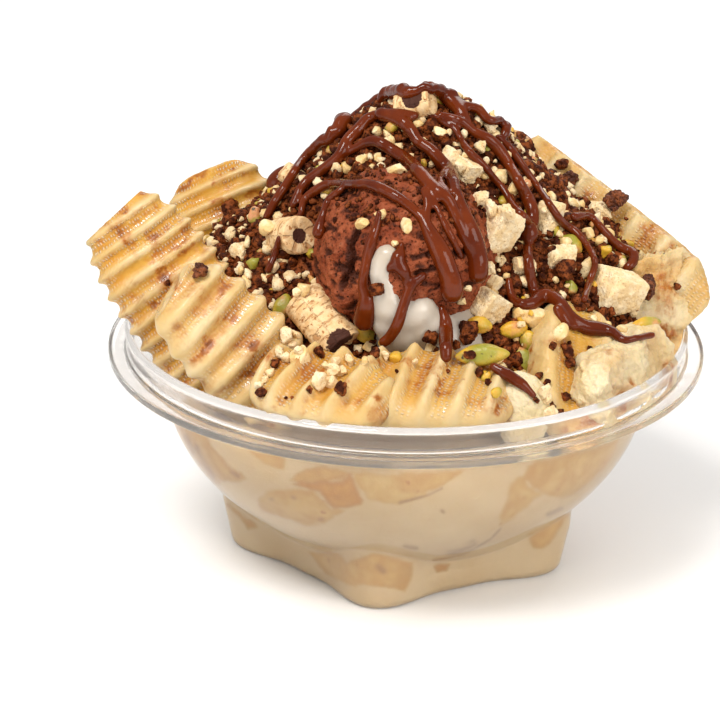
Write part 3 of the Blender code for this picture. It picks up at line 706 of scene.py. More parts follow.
def foot_radius(angle, z):
    turn = FOOT_CORNERS * (angle - FOOT_TURN)
    outline = FOOT_MEAN + FOOT_POINT * np.cos(turn) + FOOT_ROUNDING * np.cos(2 * turn)
    draft = np.interp(z, (0, FOOT_SHOULDER, FOOT_TOP), (0, FOOT_DRAFT, FOOT_TOP_DRAFT))
    rounding = FOOT_EDGE * (1 - np.sqrt(1 - np.clip(1 - z / FOOT_EDGE, 0, 1) ** 2))
    return outline + draft - rounding


def skin_radius(angle, z, inset=0.0):
    """The bowl's radius below its shoulder: the larger of body and foot, with a soft join between them."""
    body, foot = body_radius(z), foot_radius(angle, z)
    low = np.where(z > FOOT_TOP, 0.0, foot)
    over = np.maximum(BLEND - np.abs(body - low), 0) / BLEND
    return np.maximum(body, low) + over * over * BLEND / 4 - inset


print("at its shoulder the bowl is", 2 * skin_radius(0.0, BODY_TOP).round(4), "m wide")

# %% Bowl rings
def rounded(profile, share=0.28, steps=3):
    """A profile with each corner turned into a small curve."""
    points = [np.array(profile[0])]
    for before, corner, after in zip(profile, profile[1:], profile[2:]):
        before, corner, after = np.array(before), np.array(corner), np.array(after)
        start, end = corner + (before - corner) * share, corner + (after - corner) * share
        for i in range(steps + 1):
            t = i / steps
            points.append(start * (1 - t) ** 2 + corner * 2 * t * (1 - t) + end * t * t)
    return points + [np.array(profile[-1])]


def ring(radius, z, angles):
    radii = np.broadcast_to(radius, angles.shape)
    return np.stack([radii * np.cos(angles), radii * np.sin(angles), np.full(angles.shape, z)], 1)


def skin_rings(inset, angles, levels):
    """Rings down the body and the foot, from the shoulder to the floor."""
    return [ring(skin_radius(angles, z - inset, inset), z, angles) for z in levels]


def net(name, rings, looped=False):
    """A mesh through rings of equally many points. Its ends are joined, or each is closed by a middle point."""
    count, last = len(rings[0]), len(rings) - 1
    pairs = [(r, r + 1) for r in range(last)] + ([(last, 0)] if looped else [])
    faces = []
    for low, high in pairs:
        for i in range(count):
            j = (i + 1) % count
            faces.append((low * count + i, high * count + i, high * count + j, low * count + j))
    points = list(np.concatenate(rings))
    for end in () if looped else (0, last):
        faces += [(len(points), end * count + i, end * count + (i + 1) % count) for i in range(count)]
        points.append(rings[end].mean(axis=0))
    return outwards(add_form(name, points, faces))


rim_profile = rounded(RIM_OUTSIDE)
print("the rim's profile has", len(rim_profile), "points")

# %% Build the bowl
angles = np.arange(BOWL_SIDES) * tau / BOWL_SIDES
down = np.concatenate([np.linspace(BODY_TOP, FOOT_TOP, 22), np.linspace(FOOT_TOP, FOOT_EDGE, 26)[1:],
                       FOOT_EDGE * (1 - np.sin(np.linspace(0, pi / 2, 9)[1:]))])
outside = [ring(radius, z, angles) for radius, z in rim_profile] + skin_rings(0, angles, down)
flat = [ring(skin_radius(angles, 0.0) * share, 0.0, angles) for share in (0.85, 0.5, 0.15)]
up = (down + WALL)[::-1]
floor_rings = [ring(skin_radius(angles, 0.0, WALL) * share, WALL, angles) for share in (0.15, 0.5, 0.85)]
inside = [ring(radius - WALL, z + 0.0007 * (z < 0.07), angles) for radius, z in rounded(RIM_INSIDE)][::-1]
rings = outside + flat + floor_rings + skin_rings(WALL, angles, up) + inside
bowl = net("bowl_clear", rings, looped=True)
print("the bowl has", len(bowl.data.polygons), "faces")

# %% Clear plastic
# The lights shine through it, as they do through a real thin sheet
clear_plastic, w, shader = new_material("clear plastic", Roughness=0.09, IOR=1.33, Transmission_Weight=0.93,
                                        Metallic=0.0)
shader.inputs["Base Color"].default_value = (0.890, 0.865, 0.840, 1)
to_light = w.add("ShaderNodeLightPath").outputs["Is Shadow Ray"]
w.tree.links.new(w.line(to_light, -0.85, 1.0), shader.inputs["Alpha"])
normal = grained(w, 55.0, 2.0, 0.0004)
w.tree.links.new(normal, shader.inputs["Normal"])
bowl.data.materials.append(clear_plastic)
finish(bowl, "clear_bowl", "bowl")

# %% [markdown]
# ## What fills the bowl
# Through the wall one sees bananas pressed against the plastic, with soft cream between them. The filling is the
# bowl's own inner form, grown a third of a millimetre into the wall, so that no gap of air shows. The bananas are
# areas of that skin. At the front each has the outline that it shows, in pixels, and round the back uneven ovals
# are drawn by a seeded rule.

# %% Filling sizes
FILL_TOP = 0.0575
INTO_WALL = 0.0003
FOOT_SKIN = 0.0002
FILL_SIDES = 560
FILL_LEVELS = 150
FRONT_FINER = 0.4

# Bananas that show through the wall: how ripe each looks, and its outline in pixels. At 1.00 it is a hollow, whose
# dark amber and deep seam are painted shade.
SHOWN_BANANAS = (
    (0.50, ((170, 420), (190, 427), (207, 435), (215, 447), (228, 462), (243, 473), (247, 478), (238, 482), (222, 480),
            (215, 488), (220, 497), (198, 473), (182, 448))),
    (0.35, ((248, 448), (285, 457), (286, 460), (283, 469), (278, 468), (265, 465), (255, 458))),
    (0.30, ((268, 490), (292, 487), (315, 490), (325, 500), (333, 507), (345, 510), (325, 523), (308, 525), (282, 517),
            (263, 510), (258, 497))),
    (0.50, ((288, 480), (307, 468), (322, 466), (348, 471), (353, 473), (342, 480), (315, 483))),
    (1.00, ((292, 483), (315, 482), (342, 480), (351, 472), (355, 483), (365, 500), (362, 505), (333, 507), (325, 500),
            (320, 492), (307, 488))),
    (0.10, ((352, 472), (373, 472), (405, 475), (425, 488), (427, 495), (413, 499), (400, 502), (387, 502), (368, 500),
            (357, 483))),
    (0.25, ((400, 472), (442, 472), (470, 468), (455, 478), (442, 486), (433, 490), (422, 493), (410, 492),
            (400, 490))),
    (0.35, ((310, 552), (332, 548), (340, 552), (348, 560), (360, 556), (372, 552), (398, 555), (412, 562), (411, 580),
            (404, 592), (387, 588), (365, 583), (348, 585), (332, 577), (320, 568))),
    (0.50, ((228, 503), (238, 510), (255, 523), (257, 527), (248, 528), (240, 518), (232, 510))),
    (0.20, ((517, 477), (523, 475), (528, 485), (543, 493), (533, 498), (525, 508), (515, 517), (500, 525), (498, 515),
            (507, 497), (510, 487))),
    (0.30, ((527, 465), (533, 462), (567, 455), (617, 438), (615, 448), (605, 465), (592, 480), (575, 493), (560, 498),
            (547, 495), (532, 487), (523, 477))),
    (0.70, ((432, 566), (438, 563), (448, 564), (446, 570), (436, 572))),
    (0.45, ((528, 537), (542, 527), (560, 513), (567, 510), (562, 527), (550, 543), (542, 548), (533, 547))),
)
# Brown juice and specks on them: the pixels that a mark runs through and its width in pixels
SHOWN_STAINS = (
    (((198, 447), (206, 462), (215, 476)), 4.0), (((188, 436), (196, 452)), 3.0), (((233, 472), (239, 475)), 3.0),
    (((400, 502), (427, 495), (442, 488)), 1.6), (((450, 552), (462, 548), (473, 541)), 5.0),
    (((433, 558), (463, 552), (490, 537), (500, 527)), 1.6), (((547, 513), (560, 507)), 3.0),
    (((271, 498), (273, 498)), 2.5), (((293, 496), (295, 497)), 2.5), (((320, 518), (323, 518)), 2.5),
    (((405, 544), (416, 546)), 3.0), (((442, 510), (443, 511)), 2.5), (((378, 566), (383, 570)), 4.0),
)
STAIN_DEPTH = 0.55
print(len(SHOWN_BANANAS), "bananas and", len(SHOWN_STAINS), "stains show through the wall")


# %% Pixels, outlines and paths
def pixels_of(points):
    """The pixel at which the camera sees each point."""
    away = points - EYE_POINT
    depth = -(away @ np.array(back))
    across, up = away @ np.array(view_right) / depth, away @ np.array(view_up) / depth
    return VIEW_PIXELS / 2 + VIEW_FOCAL * np.stack([across, -up], 1)


def gap_to(points, path):
    """How far each point is from a path of straight steps."""
    closest, path = np.full(len(points), np.inf), np.array(path, float)
    for start, end in zip(path, path[1:]):
        span, offset = end - start, points - start
        share = np.clip((offset @ span) / (span @ span), 0, 1)
        closest = np.minimum(closest, np.linalg.norm(offset - share[:, None] * span, axis=1))
    return closest


def inside_by(points, outline):
    """How far each flat point lies inside an outline, below zero outside it."""
    corners, inside = np.array([*outline, outline[0]], float), np.zeros(len(points), bool)
    for start, end in zip(corners, corners[1:]):
        span, offset = end - start, points - start
        level_with = (start[1] > points[:, 1]) != (end[1] > points[:, 1])
        inside ^= level_with & (offset[:, 0] * span[1] ** 2 < offset[:, 1] * span[0] * span[1])
    return np.where(inside, 1, -1) * gap_to(points, corners)


def near_path(points, path, width):
    """1 on a path, falling to 0 at about this width from it."""
    return np.exp(-((gap_to(points, path) / width) ** 2))


print("the eye's target is at pixel", pixels_of(np.array([VIEW_TARGET]))[0])

# %% Filling mesh
FOOT_BLEND = (0.003, 0.008)

# The bowl's own inner form, with finer steps at the front and a thinner skin of plastic at its foot
turns = np.arange(FILL_SIDES) * tau / FILL_SIDES
angles = turns - FRONT_FINER * np.cos(turns)
rings = []
for z in np.linspace(FILL_TOP, FOOT_SKIN, FILL_LEVELS):
    inset = float(np.interp(z, FOOT_BLEND, (FOOT_SKIN, WALL - INTO_WALL)))
    rings.append(ring(skin_radius(angles, max(z - inset, 0.0), inset), z, angles))
lid = [rings[0] * np.array([share, share, 1]) for share in (0.4, 0.8, 0.97)]
base = [rings[-1] * np.array([share, share, 1]) for share in (0.9, 0.4)]
filling = net("filling_through_wall", lid + rings + base)
print("the filling has", len(filling.data.vertices), "points")

# %% Bananas round the back
REAR_CHUNK_COUNT = 34
REAR_CHUNK_POWER = 3.5
FAR_OUTSIDE = -9.0


def rear_chunks():
    """Bananas round the back, drawn by a seeded rule: middle, half sizes, turn and how ripe."""
    draw = np.random.default_rng(11)
    for _ in range(REAR_CHUNK_COUNT):
        angle, z = draw.uniform(radians(-18), radians(198)), draw.uniform(0.006, 0.052)
        radius = float(skin_radius(np.array([angle]), z)[0])
        centre = np.array([radius * cos(angle), radius * sin(angle), z])
        size = (draw.uniform(0.008, 0.017), draw.uniform(0.004, 0.010))
        yield centre, size, draw.uniform(-0.7, 0.7), draw.uniform(0.1, 0.8)


def chunk_inside(points, centre, half_size, turn):
    """How many millimetres inside an oval on the wall each point is, below zero outside it."""
    outward = np.array([centre[0], centre[1], 0.0])
    outward /= np.linalg.norm(outward)
    along = np.array([-outward[1], outward[0], 0.0])
    offset = points - centre
    across, up = offset @ along, offset[:, 2]
    a = (across * cos(turn) + up * sin(turn)) / half_size[0]
    b = (up * cos(turn) - across * sin(turn)) / half_size[1]
    reach = (np.abs(a) ** REAR_CHUNK_POWER + np.abs(b) ** REAR_CHUNK_POWER) ** (1 / REAR_CHUNK_POWER)
    return np.where((offset @ outward) > -0.02, (1 - reach) * half_size[1] * 1000, FAR_OUTSIDE)


print("the first lies at", next(rear_chunks())[0].round(3))

# %% Mark the bananas
MM_PER_PIXEL = 0.3


def mark_bananas(filling):
    """Stores on each point how much banana it shows, how ripe, the painted shade at its seams, and the brown juice."""
    points, out = points_of(filling.data), normals_of(filling.data)
    seen = ((EYE_POINT - points) * out).sum(axis=1) > 0
    pixels = np.where(seen[:, None], pixels_of(points), -100.0)
    ragged = 0.7 * fractal(points, 0.007, 4) + 0.25 * fractal(points, 0.0014, 3, 5.0)
    bent = points + 0.003 * np.stack([fractal(points, 0.010, 3, shift) for shift in (7.0, 8.0, 9.0)], 1)
    depths = [(chunk_inside(bent, centre, size, turn), ripe) for centre, size, turn, ripe in rear_chunks()]
    depths = [(np.where(seen, FAR_OUTSIDE, depth), ripe) for depth, ripe in depths]
    depths += [(inside_by(pixels, outline) * MM_PER_PIXEL, ripe) for ripe, outline in SHOWN_BANANAS]
    flesh, ripeness, seam_shade, juice = (np.zeros(len(points)) for _ in range(4))
    for depth, ripe in depths:
        depth = depth + ragged
        inside = smooth_step(depth, -0.5, 0.9)
        flesh = flesh * (1 - inside) + inside
        ripeness = ripeness * (1 - inside) + inside * ripe
        # The edge of each banana gets painted shade, deeper where it is riper
        edge = smooth_step(depth, -0.5, 0.2) * (1 - smooth_step(depth, 0.3, 2.4))
        seam_shade = np.maximum(seam_shade * (1 - inside), edge * (0.3 + 0.7 * ripe))
    for path, width in SHOWN_STAINS:
        mark = near_path(pixels, path, width * 0.8) * (1 + 0.9 * ragged)
        juice = np.maximum(juice, np.clip(mark, 0, 1) * STAIN_DEPTH)
    for name, values in (("flesh", flesh), ("ripe", ripeness), ("seam_shade", seam_shade), ("juice", juice)):
        store(filling.data, name, values)
        print(name, "in the mean", round(float(values.mean()), 2))


mark_bananas(filling)

# %% Filling material
filling_paint, w, shader = new_material("banana and cream", Roughness=0.40, Subsurface_Weight=0.2,
                                        Subsurface_Scale=0.002,
                                        Subsurface_Radius=(1.0, 0.6, 0.3))
soft = patchy(w, 40.0, 0.5, 0.25, detail=3.0)
creamy = w.mix(soft, (0.540, 0.380, 0.185), (0.620, 0.475, 0.275))
mottled = patchy(w, 170.0, 0.5, 0.22, detail=6.0)
fresh = w.mix(mottled, (0.520, 0.320, 0.095), (0.600, 0.425, 0.170))
# Ripe flesh; at its fullest it is also the painted shade of the hollow
ripe = w.mix(mottled, (0.430, 0.190, 0.022), (0.560, 0.300, 0.060))
flesh = w.mix(stored(w, "ripe"), fresh, ripe)
colour = w.mix(stored(w, "flesh"), creamy, flesh)
# Painted shade along the seams of the bananas, deepest where they are ripe and in the hollow
shade = w.times(stored(w, "seam_shade"), w.line(mottled, 0.35, 0.15))
seam_shaded = w.mix(shade, colour, (0.330, 0.130, 0.024))
specks = patchy(w, 230.0, 0.70, 0.03, detail=3.0)
specked = w.times(specks, w.line(stored(w, "flesh"), 0.6, 0.10))
spotted = w.mix(specked, seam_shaded, (0.380, 0.150, 0.030))
juicy = w.mix(stored(w, "juice"), spotted, (0.220, 0.090, 0.030))
fine = grained(w, 300.0, 5.0, 0.0004)
paint(w, shader, juicy, fine)
filling.data.materials.append(filling_paint)
finish(filling, "filling", "filling")

# %% [markdown]
# ## Banana slabs
# Each slab is cut along the fruit with a wavy blade, so both faces carry the same ridges and the rim is round. That
# is a rule, and Geometry Nodes can follow it: a square net is pressed into a rounded oval, each point is lifted by
# the wave, and a little noise makes it fruit. One tree with named inputs makes them all, and each slab gets its own
# sizes.

# %% Slab sizes
# The pixel and depth of the middle, then roll, lean and yaw in degrees, then width, length and thickness
SLAB_PLACES = {
    "front_b": ((432, 394, -0.066), (-84, 66, 6), (0.026, 0.048, 0.012)),
    "front_a": ((322, 392, -0.068), (-86, 66, -16), (0.024, 0.042, 0.012)),
    "front_c": ((476, 390, -0.050), (-50, 50, 20), (0.024, 0.034, 0.010)),
    "front_left": ((241, 352, -0.046), (-38, 25, 25), (0.030, 0.060, 0.012)),
    "left": ((190, 315, -0.016), (-34, 20, 5), (0.034, 0.084, 0.011)),
    "rear_left": ((250, 270, 0.022), (-24, 22, 0), (0.034, 0.068, 0.011)),
    "right_front": ((622, 384, -0.042), (84, 12, 52), (0.028, 0.044, 0.013)),
    "middle": ((572, 372, -0.046), (24, 48, 28), (0.026, 0.046, 0.012)),
    "right": ((652, 314, -0.004), (14, 20, 30), (0.030, 0.052, 0.012)),
    "rear_right": ((590, 240, 0.020), (-64, 24, -27), (0.036, 0.086, 0.012)),
}
REAR_SLABS = (62, 100, 138)
REAR_RADIUS = 0.0650
REAR_HEIGHTS = (0.0850, 0.0840, 0.0670)
REAR_LEAN = 14
REAR_SEED = 20
REAR_ROLLS = (-8, 3, 9)
REAR_SIZE = (0.032, 0.056, 0.011)
NET_STEP = 0.00070

print(len(SLAB_PLACES), "slabs show and", len(REAR_SLABS), "stand at the back")

# %% How each slab was cut
# Inputs of the slab tree. Edges and fades are shares, on its two long sides.
PLAIN_CUT = {"Pitch": 0.0058, "Depth": 0.0014, "Skew": 0.0, "Shift": 0.0, "Crest": 0.22, "Left edge": 0.30,
             "Right edge": 0.25, "Left fade": 0.3, "Right fade": 0.1, "Scallop": 0.045, "Power": 3.0, "Rough": 1.0}
FRONT_CUT = {"Pitch": 0.0086, "Depth": 0.0034, "Skew": radians(18), "Crest": 0.30, "Left edge": 0.75,
             "Right edge": 0.08, "Left fade": 1.0, "Right fade": 0.0, "Scallop": 0.02, "Power": 2.8}
TORN_CUT = {"Pitch": 0.0200, "Depth": 0.0010, "Left edge": 0.35, "Right edge": 0.35, "Left fade": 0.9,
            "Right fade": 0.9, "Scallop": 0.0, "Rough": 1.6}
SLAB_CUTS = {
    "front_b": FRONT_CUT,
    "front_a": FRONT_CUT,
    "front_c": {**FRONT_CUT, "Depth": 0.0026, "Skew": radians(10), "Left edge": 0.6},
    "front_left": {"Pitch": 0.0078, "Depth": 0.0023, "Left edge": 0.60, "Scallop": 0.06, "Crest": 0.05,
                   "Left fade": 0.8, "Right edge": 0.15, "Shift": 1.0},
    "left": {"Scallop": 0.060, "Power": 2.8},
    "rear_left": {"Power": 4.0},
    "right_front": {**TORN_CUT, "Left edge": 0.16, "Right edge": 0.16, "Power": 3.4, "Rough": 3.2},
    "middle": {**TORN_CUT, "Pitch": 0.0190, "Depth": 0.0034, "Skew": radians(90), "Shift": pi, "Power": 2.6},
    "right": {**TORN_CUT, "Right edge": 0.5},
    "rear_right": {"Pitch": 0.0110, "Depth": 0.0022, "Left edge": 0.4, "Right edge": 0.4, "Power": 3.2,
                   "Scallop": 0.05},
}

print(len(SLAB_CUTS), "slabs have a cut of their own")

# %% How ripe and how torn each slab is
# How golden each slab is, from 0 for fresh to 1. The middle slab's gold is partly painted shade, as it lies between
# slabs.
SLAB_TONES = {
    "left": 0.85, "rear_left": 1.0, "front_left": 0.62, "front_a": 0.78, "front_b": 0.75, "front_c": 0.65,
    "right_front": 0.25, "middle": 0.8, "right": 0.65, "rear_right": 0.6,
}
REAR_TONE = 0.6
# How torn the flesh of each is; the others have a clean cut
SLAB_TORN = {"right_front": 1.0, "right": 0.9, "middle": 0.35, "rear_right": 0.4}
# Torn or blunt ends: the direction in degrees from the slab's top towards its right, how far out, how ragged
SLAB_TEARS = {
    "left": ((-8, 0.0368, 0.0004),),
    "rear_left": ((38, 0.0330, 0.0004),),
    "front_left": ((-12, 0.0265, 0.0004),),
    "right_front": ((90, 0.0115, 0.0016),),
    "right": ((-20, 0.0175, 0.0026), (40, 0.0200, 0.0022)),
    "rear_right": ((90, 0.0160, 0.0006), (0, 0.0400, 0.0010)),
}
print(len(SLAB_TORN), "slabs are torn, and", len(SLAB_TEARS), "have a torn or blunt end")

# %% Slab tree: the outline
SLAB_INPUTS = {"Width": 0.03, "Length": 0.06, "Thickness": 0.011, **PLAIN_CUT, "Across": 50, "Along": 90, "Seed": 0.0}


def evened(w, value):
    """Moves the lines of the net so that its cells stay even in the disc."""
    return w.times(value, w.minus(1.5, w.times(0.5, w.power(value, 2.0))))


def narrowed(w, value, other):
    """One side of the square, pressed into a disc."""
    return w.times(value, w.math("SQRT", w.rest(w.times(0.5, w.power(other, 2.0)))))


def pressed_net(w, given):
    """A square net pressed into a disc and then into a rounded oval: its mesh and the fields of its points."""
    grid = w.add("GeometryNodeMeshGrid", {
        "Size X": 2.0, "Size Y": 2.0, "Vertices X": given["Across"], "Vertices Y": given["Along"],
    }).outputs["Mesh"]
    place = w.add("ShaderNodeSeparateXYZ", {0: w.add("GeometryNodeInputPosition").outputs[0]}).outputs
    a, b = evened(w, place["X"]), evened(w, place["Y"])
    u, v = narrowed(w, a, b), narrowed(w, b, a)
    rho = w.math("SQRT", w.plus(w.power(u, 2.0), w.power(v, 2.0)))
    safe = w.math("MAXIMUM", rho, 1e-3)
    corners = [w.power(w.math("ABSOLUTE", w.math("DIVIDE", side, safe)), given["Power"]) for side in (u, v)]
    reach = w.power(w.math("MAXIMUM", w.plus(*corners), 1e-3), w.math("DIVIDE", -1.0, given["Power"]))
    x = w.times(w.times(u, reach), w.times(given["Width"], 0.5))
    z = w.times(w.times(v, reach), w.times(given["Length"], 0.5))
    return grid, u, rho, x, z


print("the slab tree has", len(SLAB_INPUTS), "inputs")


# %% Slab tree: the wave of the blade
def cloud(w, place, scale, detail, amount):
    """Noise that shifts a point in every direction. The place has the seed in it, so no two slabs are alike."""
    cloudy = w.add("ShaderNodeTexNoise", {"Vector": place, "Scale": scale, "Detail": detail}, noise_dimensions="3D")
    return w.scale(w.vector("SUBTRACT", cloudy.outputs["Color"], (0.5, 0.5, 0.5)), amount)


def blade_wave(w, given, x, z, place):
    """The wave, from about -1 in a groove to 1 on a crest, and each point's place along and across it."""
    wander = w.add("ShaderNodeSeparateXYZ", {0: cloud(w, place, 38.0, 1.0, 1.8)}).outputs["X"]
    sine, cosine = w.math("SINE", given["Skew"]), w.math("COSINE", given["Skew"])
    along = w.plus(w.times(z, cosine), w.times(x, sine))
    across = w.minus(w.times(x, cosine), w.times(z, sine))
    phase = w.plus(w.math("DIVIDE", w.times(along, tau), given["Pitch"]), w.plus(wander, given["Shift"]))
    crest = w.times(given["Crest"], w.math("COSINE", w.times(phase, 2.0)))
    return w.plus(w.math("COSINE", phase), crest), along, across


print("a plain cut has a groove every", PLAIN_CUT["Pitch"], "m")

# %% Slab tree: both faces
MERGE_GAP = 0.00001


def between_sides(w, given, side, name):
    """An input that goes from its left value to its right one, across the slab."""
    left, right = given["Left " + name], given["Right " + name]
    return w.plus(left, w.times(side, w.minus(right, left)))


def slab_tree():
    tree, w, given, out = new_tree("crinkle-cut slab", "GeometryNodeTree", SLAB_INPUTS,
                                   {"Geometry": "NodeSocketGeometry"})
    grid, u, rho, x, z = pressed_net(w, given)
    place = w.add("ShaderNodeCombineXYZ", {"X": x, "Y": given["Seed"], "Z": z}).outputs[0]
    wave, along, across = blade_wave(w, given, x, z, place)
    x_out = w.times(x, w.plus(1.0, w.times(w.times(wave, given["Scallop"]), w.power(rho, 3.0))))

    # Thickness: full in the middle, rounded towards the rim, more or less so on each side
    side = w.line(u, 0.5, 0.5)
    edge = w.ramp(rho, w.rest(between_sides(w, given, side, "edge")), 1.0)
    edge_squared = w.power(edge, 2.0)
    half = w.times(w.times(given["Thickness"], 0.5), w.math("SQRT", w.rest(edge_squared, clamp=True)))
    fade = w.rest(w.times(between_sides(w, given, side, "fade"), edge_squared), clamp=True)
    lift = w.times(w.times(wave, w.times(given["Depth"], -0.5)), fade)
    groove = w.times(w.line(wave, -0.5, 0.5), fade, clamp=True)
    fibres = w.scale(cloud(w, place, 260.0, 4.0, 0.0005), given["Rough"])
    rough = w.vector("ADD", w.vector("ADD", cloud(w, place, 34.0, 2.0, 0.0022), fibres),
                     cloud(w, place, 900.0, 2.0, 0.0003))

    def skin(sign, mesh):
        y = w.plus(w.times(half, sign), lift)
        spot = w.vector("ADD", w.add("ShaderNodeCombineXYZ", {"X": x_out, "Y": y, "Z": z}).outputs[0], rough)
        return w.add("GeometryNodeSetPosition", {"Geometry": mesh, "Position": spot}).outputs[0]

    marked = grid
    for name, value in (("groove", groove), ("along", along), ("across", across)):
        marked = w.add("GeometryNodeStoreNamedAttribute", {"Geometry": marked, "Name": name, "Value": value},
                       data_type="FLOAT", domain="POINT").outputs["Geometry"]
    joined_skins = w.add("GeometryNodeJoinGeometry")
    rear = w.add("GeometryNodeFlipFaces", {"Mesh": skin(1.0, marked)}).outputs[0]
    for face in (rear, skin(-1.0, marked)):
        tree.links.new(face, joined_skins.inputs[0])
    merged = w.add("GeometryNodeMergeByDistance", {"Geometry": joined_skins.outputs[0], "Distance": MERGE_GAP})
    real = w.add("GeometryNodeRealizeInstances", {"Geometry": merged.outputs[0]}).outputs[0]
    dressed = w.add("GeometryNodeSetMaterial", {"Geometry": real, "Material": banana}).outputs[0]
    tree.links.new(dressed, out.inputs["Geometry"])
    return tree


crinkle_cut = slab_tree()
print("the slab tree has", len(crinkle_cut.nodes), "nodes")

# %% [markdown]
# A slab that leans on the bowl must not stick through it. Below the rim, each point that lies outside the wall's
# inner face is pushed back to just inside the plastic, so the fruit looks pressed against it.

# %% Keep food inside the bowl
RIM_TOP = 0.0730
LEAN_OUT = 1.2


def inner_radius(angle, z):
    """How far food may reach at this height: into the wall below the rim, and slowly outwards above it."""
    below = skin_radius(angle, np.clip(z - WALL, 0, BODY_TOP), WALL - INTO_WALL)
    inside = np.array(RIM_INSIDE)[::-1]
    shoulder = np.interp(z, inside[:, 1], inside[:, 0]) - WALL + INTO_WALL
    over = np.maximum(z - RIM_TOP, 0) * LEAN_OUT
    return np.where(z < BODY_TOP, below, shoulder + over)


def press_in(points):
    angle, radius = np.arctan2(points[:, 1], points[:, 0]), np.hypot(points[:, 0], points[:, 1])
    most = inner_radius(angle, points[:, 2])
    share = np.where(radius > most, most / np.maximum(radius, 1e-9), 1.0)
    return points * np.stack([share, share, np.ones(len(points))], 1)


print("halfway up, food may reach", inner_radius(0.0, RIM_TOP / 2).round(4), "m from the middle")

# %% Build the slabs
def turn_to(roll, lean, yaw):
    turn = Euler((0, 0, radians(yaw))).to_matrix() @ Euler((radians(-lean), 0, 0)).to_matrix()
    return (turn @ Euler((0, radians(roll), 0)).to_matrix()).to_4x4()


def torn(points, degrees, reach, ragged):
    """Ends a slab at a plane across it, with a ragged face."""
    outward = np.array((sin(radians(degrees)), 0.0, cos(radians(degrees))))
    beyond = np.maximum(points @ outward - reach, 0)
    share = beyond / max(beyond.max(), 1e-6)
    ended = points - outward * beyond[:, None]
    ended[:, 1] *= 1 - share
    loose = ragged * (fractal(points, 0.0032, 4) + 0.4 * fractal(points, 0.0011, 3, 2.0)) - ragged * 0.4
    return ended + outward * (loose * smooth_step(beyond, 0, 0.0012))[:, None]


def make_slab(key, place, size, cut, tone, seed):
    name, crumple = "banana_slab_" + key, SLAB_TORN.get(key, 0.0)
    step = NET_STEP * (1 - 0.4 * crumple)
    values = {**PLAIN_CUT, **cut, "Width": size[0], "Length": size[1], "Thickness": size[2], "Seed": float(seed),
              "Across": int(size[0] / step), "Along": int(size[1] / step)}
    made = grow(add_object(name + "_flesh", bpy.data.meshes.new(name)), crinkle_cut, values)
    points = points_of(made.data)
    store(made.data, "tone", np.full(len(points), tone))
    store(made.data, "torn", np.full(len(points), crumple))
    if crumple:
        folds = 0.6 - 2 * np.abs(fractal(points, 0.0090, 2, seed)) - 0.8 * np.abs(fractal(points, 0.0028, 3, seed + 1))
        points = points + normals_of(made.data) * (crumple * 0.0013 * folds)[:, None]
    for tear in SLAB_TEARS.get(key, ()):
        points = torn(points, *tear)
    points = turned(points, place.to_3x3()) + np.array(place.translation)
    move_points(made.data, press_in(points))
    return finish(made, "banana", name)


slabs = []
for seed, (key, (middle, turn, size)) in enumerate(SLAB_PLACES.items()):
    place = Matrix.Translation(seen_at(*middle)) @ turn_to(*turn)
    slabs.append(make_slab(key, place, size, SLAB_CUTS[key], SLAB_TONES[key], seed))
for i, degrees in enumerate(REAR_SLABS):
    angle = radians(degrees)
    middle = Vector((REAR_RADIUS * cos(angle), REAR_RADIUS * sin(angle), REAR_HEIGHTS[i]))
    place = Matrix.Translation(middle) @ turn_to(REAR_ROLLS[i], REAR_LEAN, degrees - 90)
    slabs.append(make_slab(f"rear_{i + 1}", place, REAR_SIZE, {}, REAR_TONE, REAR_SEED + i))
print(len(slabs), "slabs")

# %% [markdown]
# The last banana is only a tip, a pale rounded end that stands against the rim. It is a ball drawn out and
# roughened, and it shows the way in which all the small single pieces below are made: the points of a ball are
# moved out or in by a rule, then turned and set down in the middle of the CAD node that the piece stands for.


# %% A ball to shape
def ball(levels):
    """The points of a unit ball and its faces."""
    bm = bmesh.new()
    bmesh.ops.create_icosphere(bm, subdivisions=levels, radius=1.0)
    points = np.array([vert.co[:] for vert in bm.verts])
    faces = [tuple(vert.index for vert in face.verts) for face in bm.faces]
    bm.free()
    return points / np.linalg.norm(points, axis=1)[:, None], faces


def node_middle(node):
    low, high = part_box(node)
    return (np.array(low) + np.array(high)) / 2


print("a ball of level 4 has", len(ball(4)[0]), "points")

# %% Banana tip
TIP_SIZE = np.array((0.0080, 0.0080, 0.0122))
TIP_BULGE, TIP_GRAIN = (0.10, 1.2), (0.02, 0.16)

points, faces = ball(6)
swell = 1 + TIP_BULGE[0] * fractal(points, TIP_BULGE[1], 2, 3.0) + TIP_GRAIN[0] * fractal(points, TIP_GRAIN[1], 3)
shape = press_in(points * TIP_SIZE * swell[:, None] + node_middle("banana_tip"))
made = outwards(add_form("banana_tip_flesh", shape, faces, banana))
store(made.data, "groove", np.clip(fractal(points, 0.7, 2, 1.0), 0, 1) * 0.3)
store(made.data, "tone", np.zeros(len(points)))
store(made.data, "torn", np.ones(len(points)))
tip = finish(made, "banana", "banana_tip")

# %% [markdown]
# ## The scoop
# A scoop drags the ice cream as it rolls it, so the ball is torn and pitted on its face and has a crevice where two
# layers didn't join. Each of these is a move of the ball's points along its own radius: a broad unevenness, tears
# that are longer sideways than upwards, pits, and a few forms that are placed by the pixel where they show.

# %% Scoop sizes
SCOOP_CENTRE = np.array((-0.0010, -0.0230, 0.1000))
SCOOP_RADIUS = 0.0272
SCOOP_LEVELS = 7
SCOOP_SHADED = 0.0013
SCOOP_CRUMBED = (0.112, 0.121)
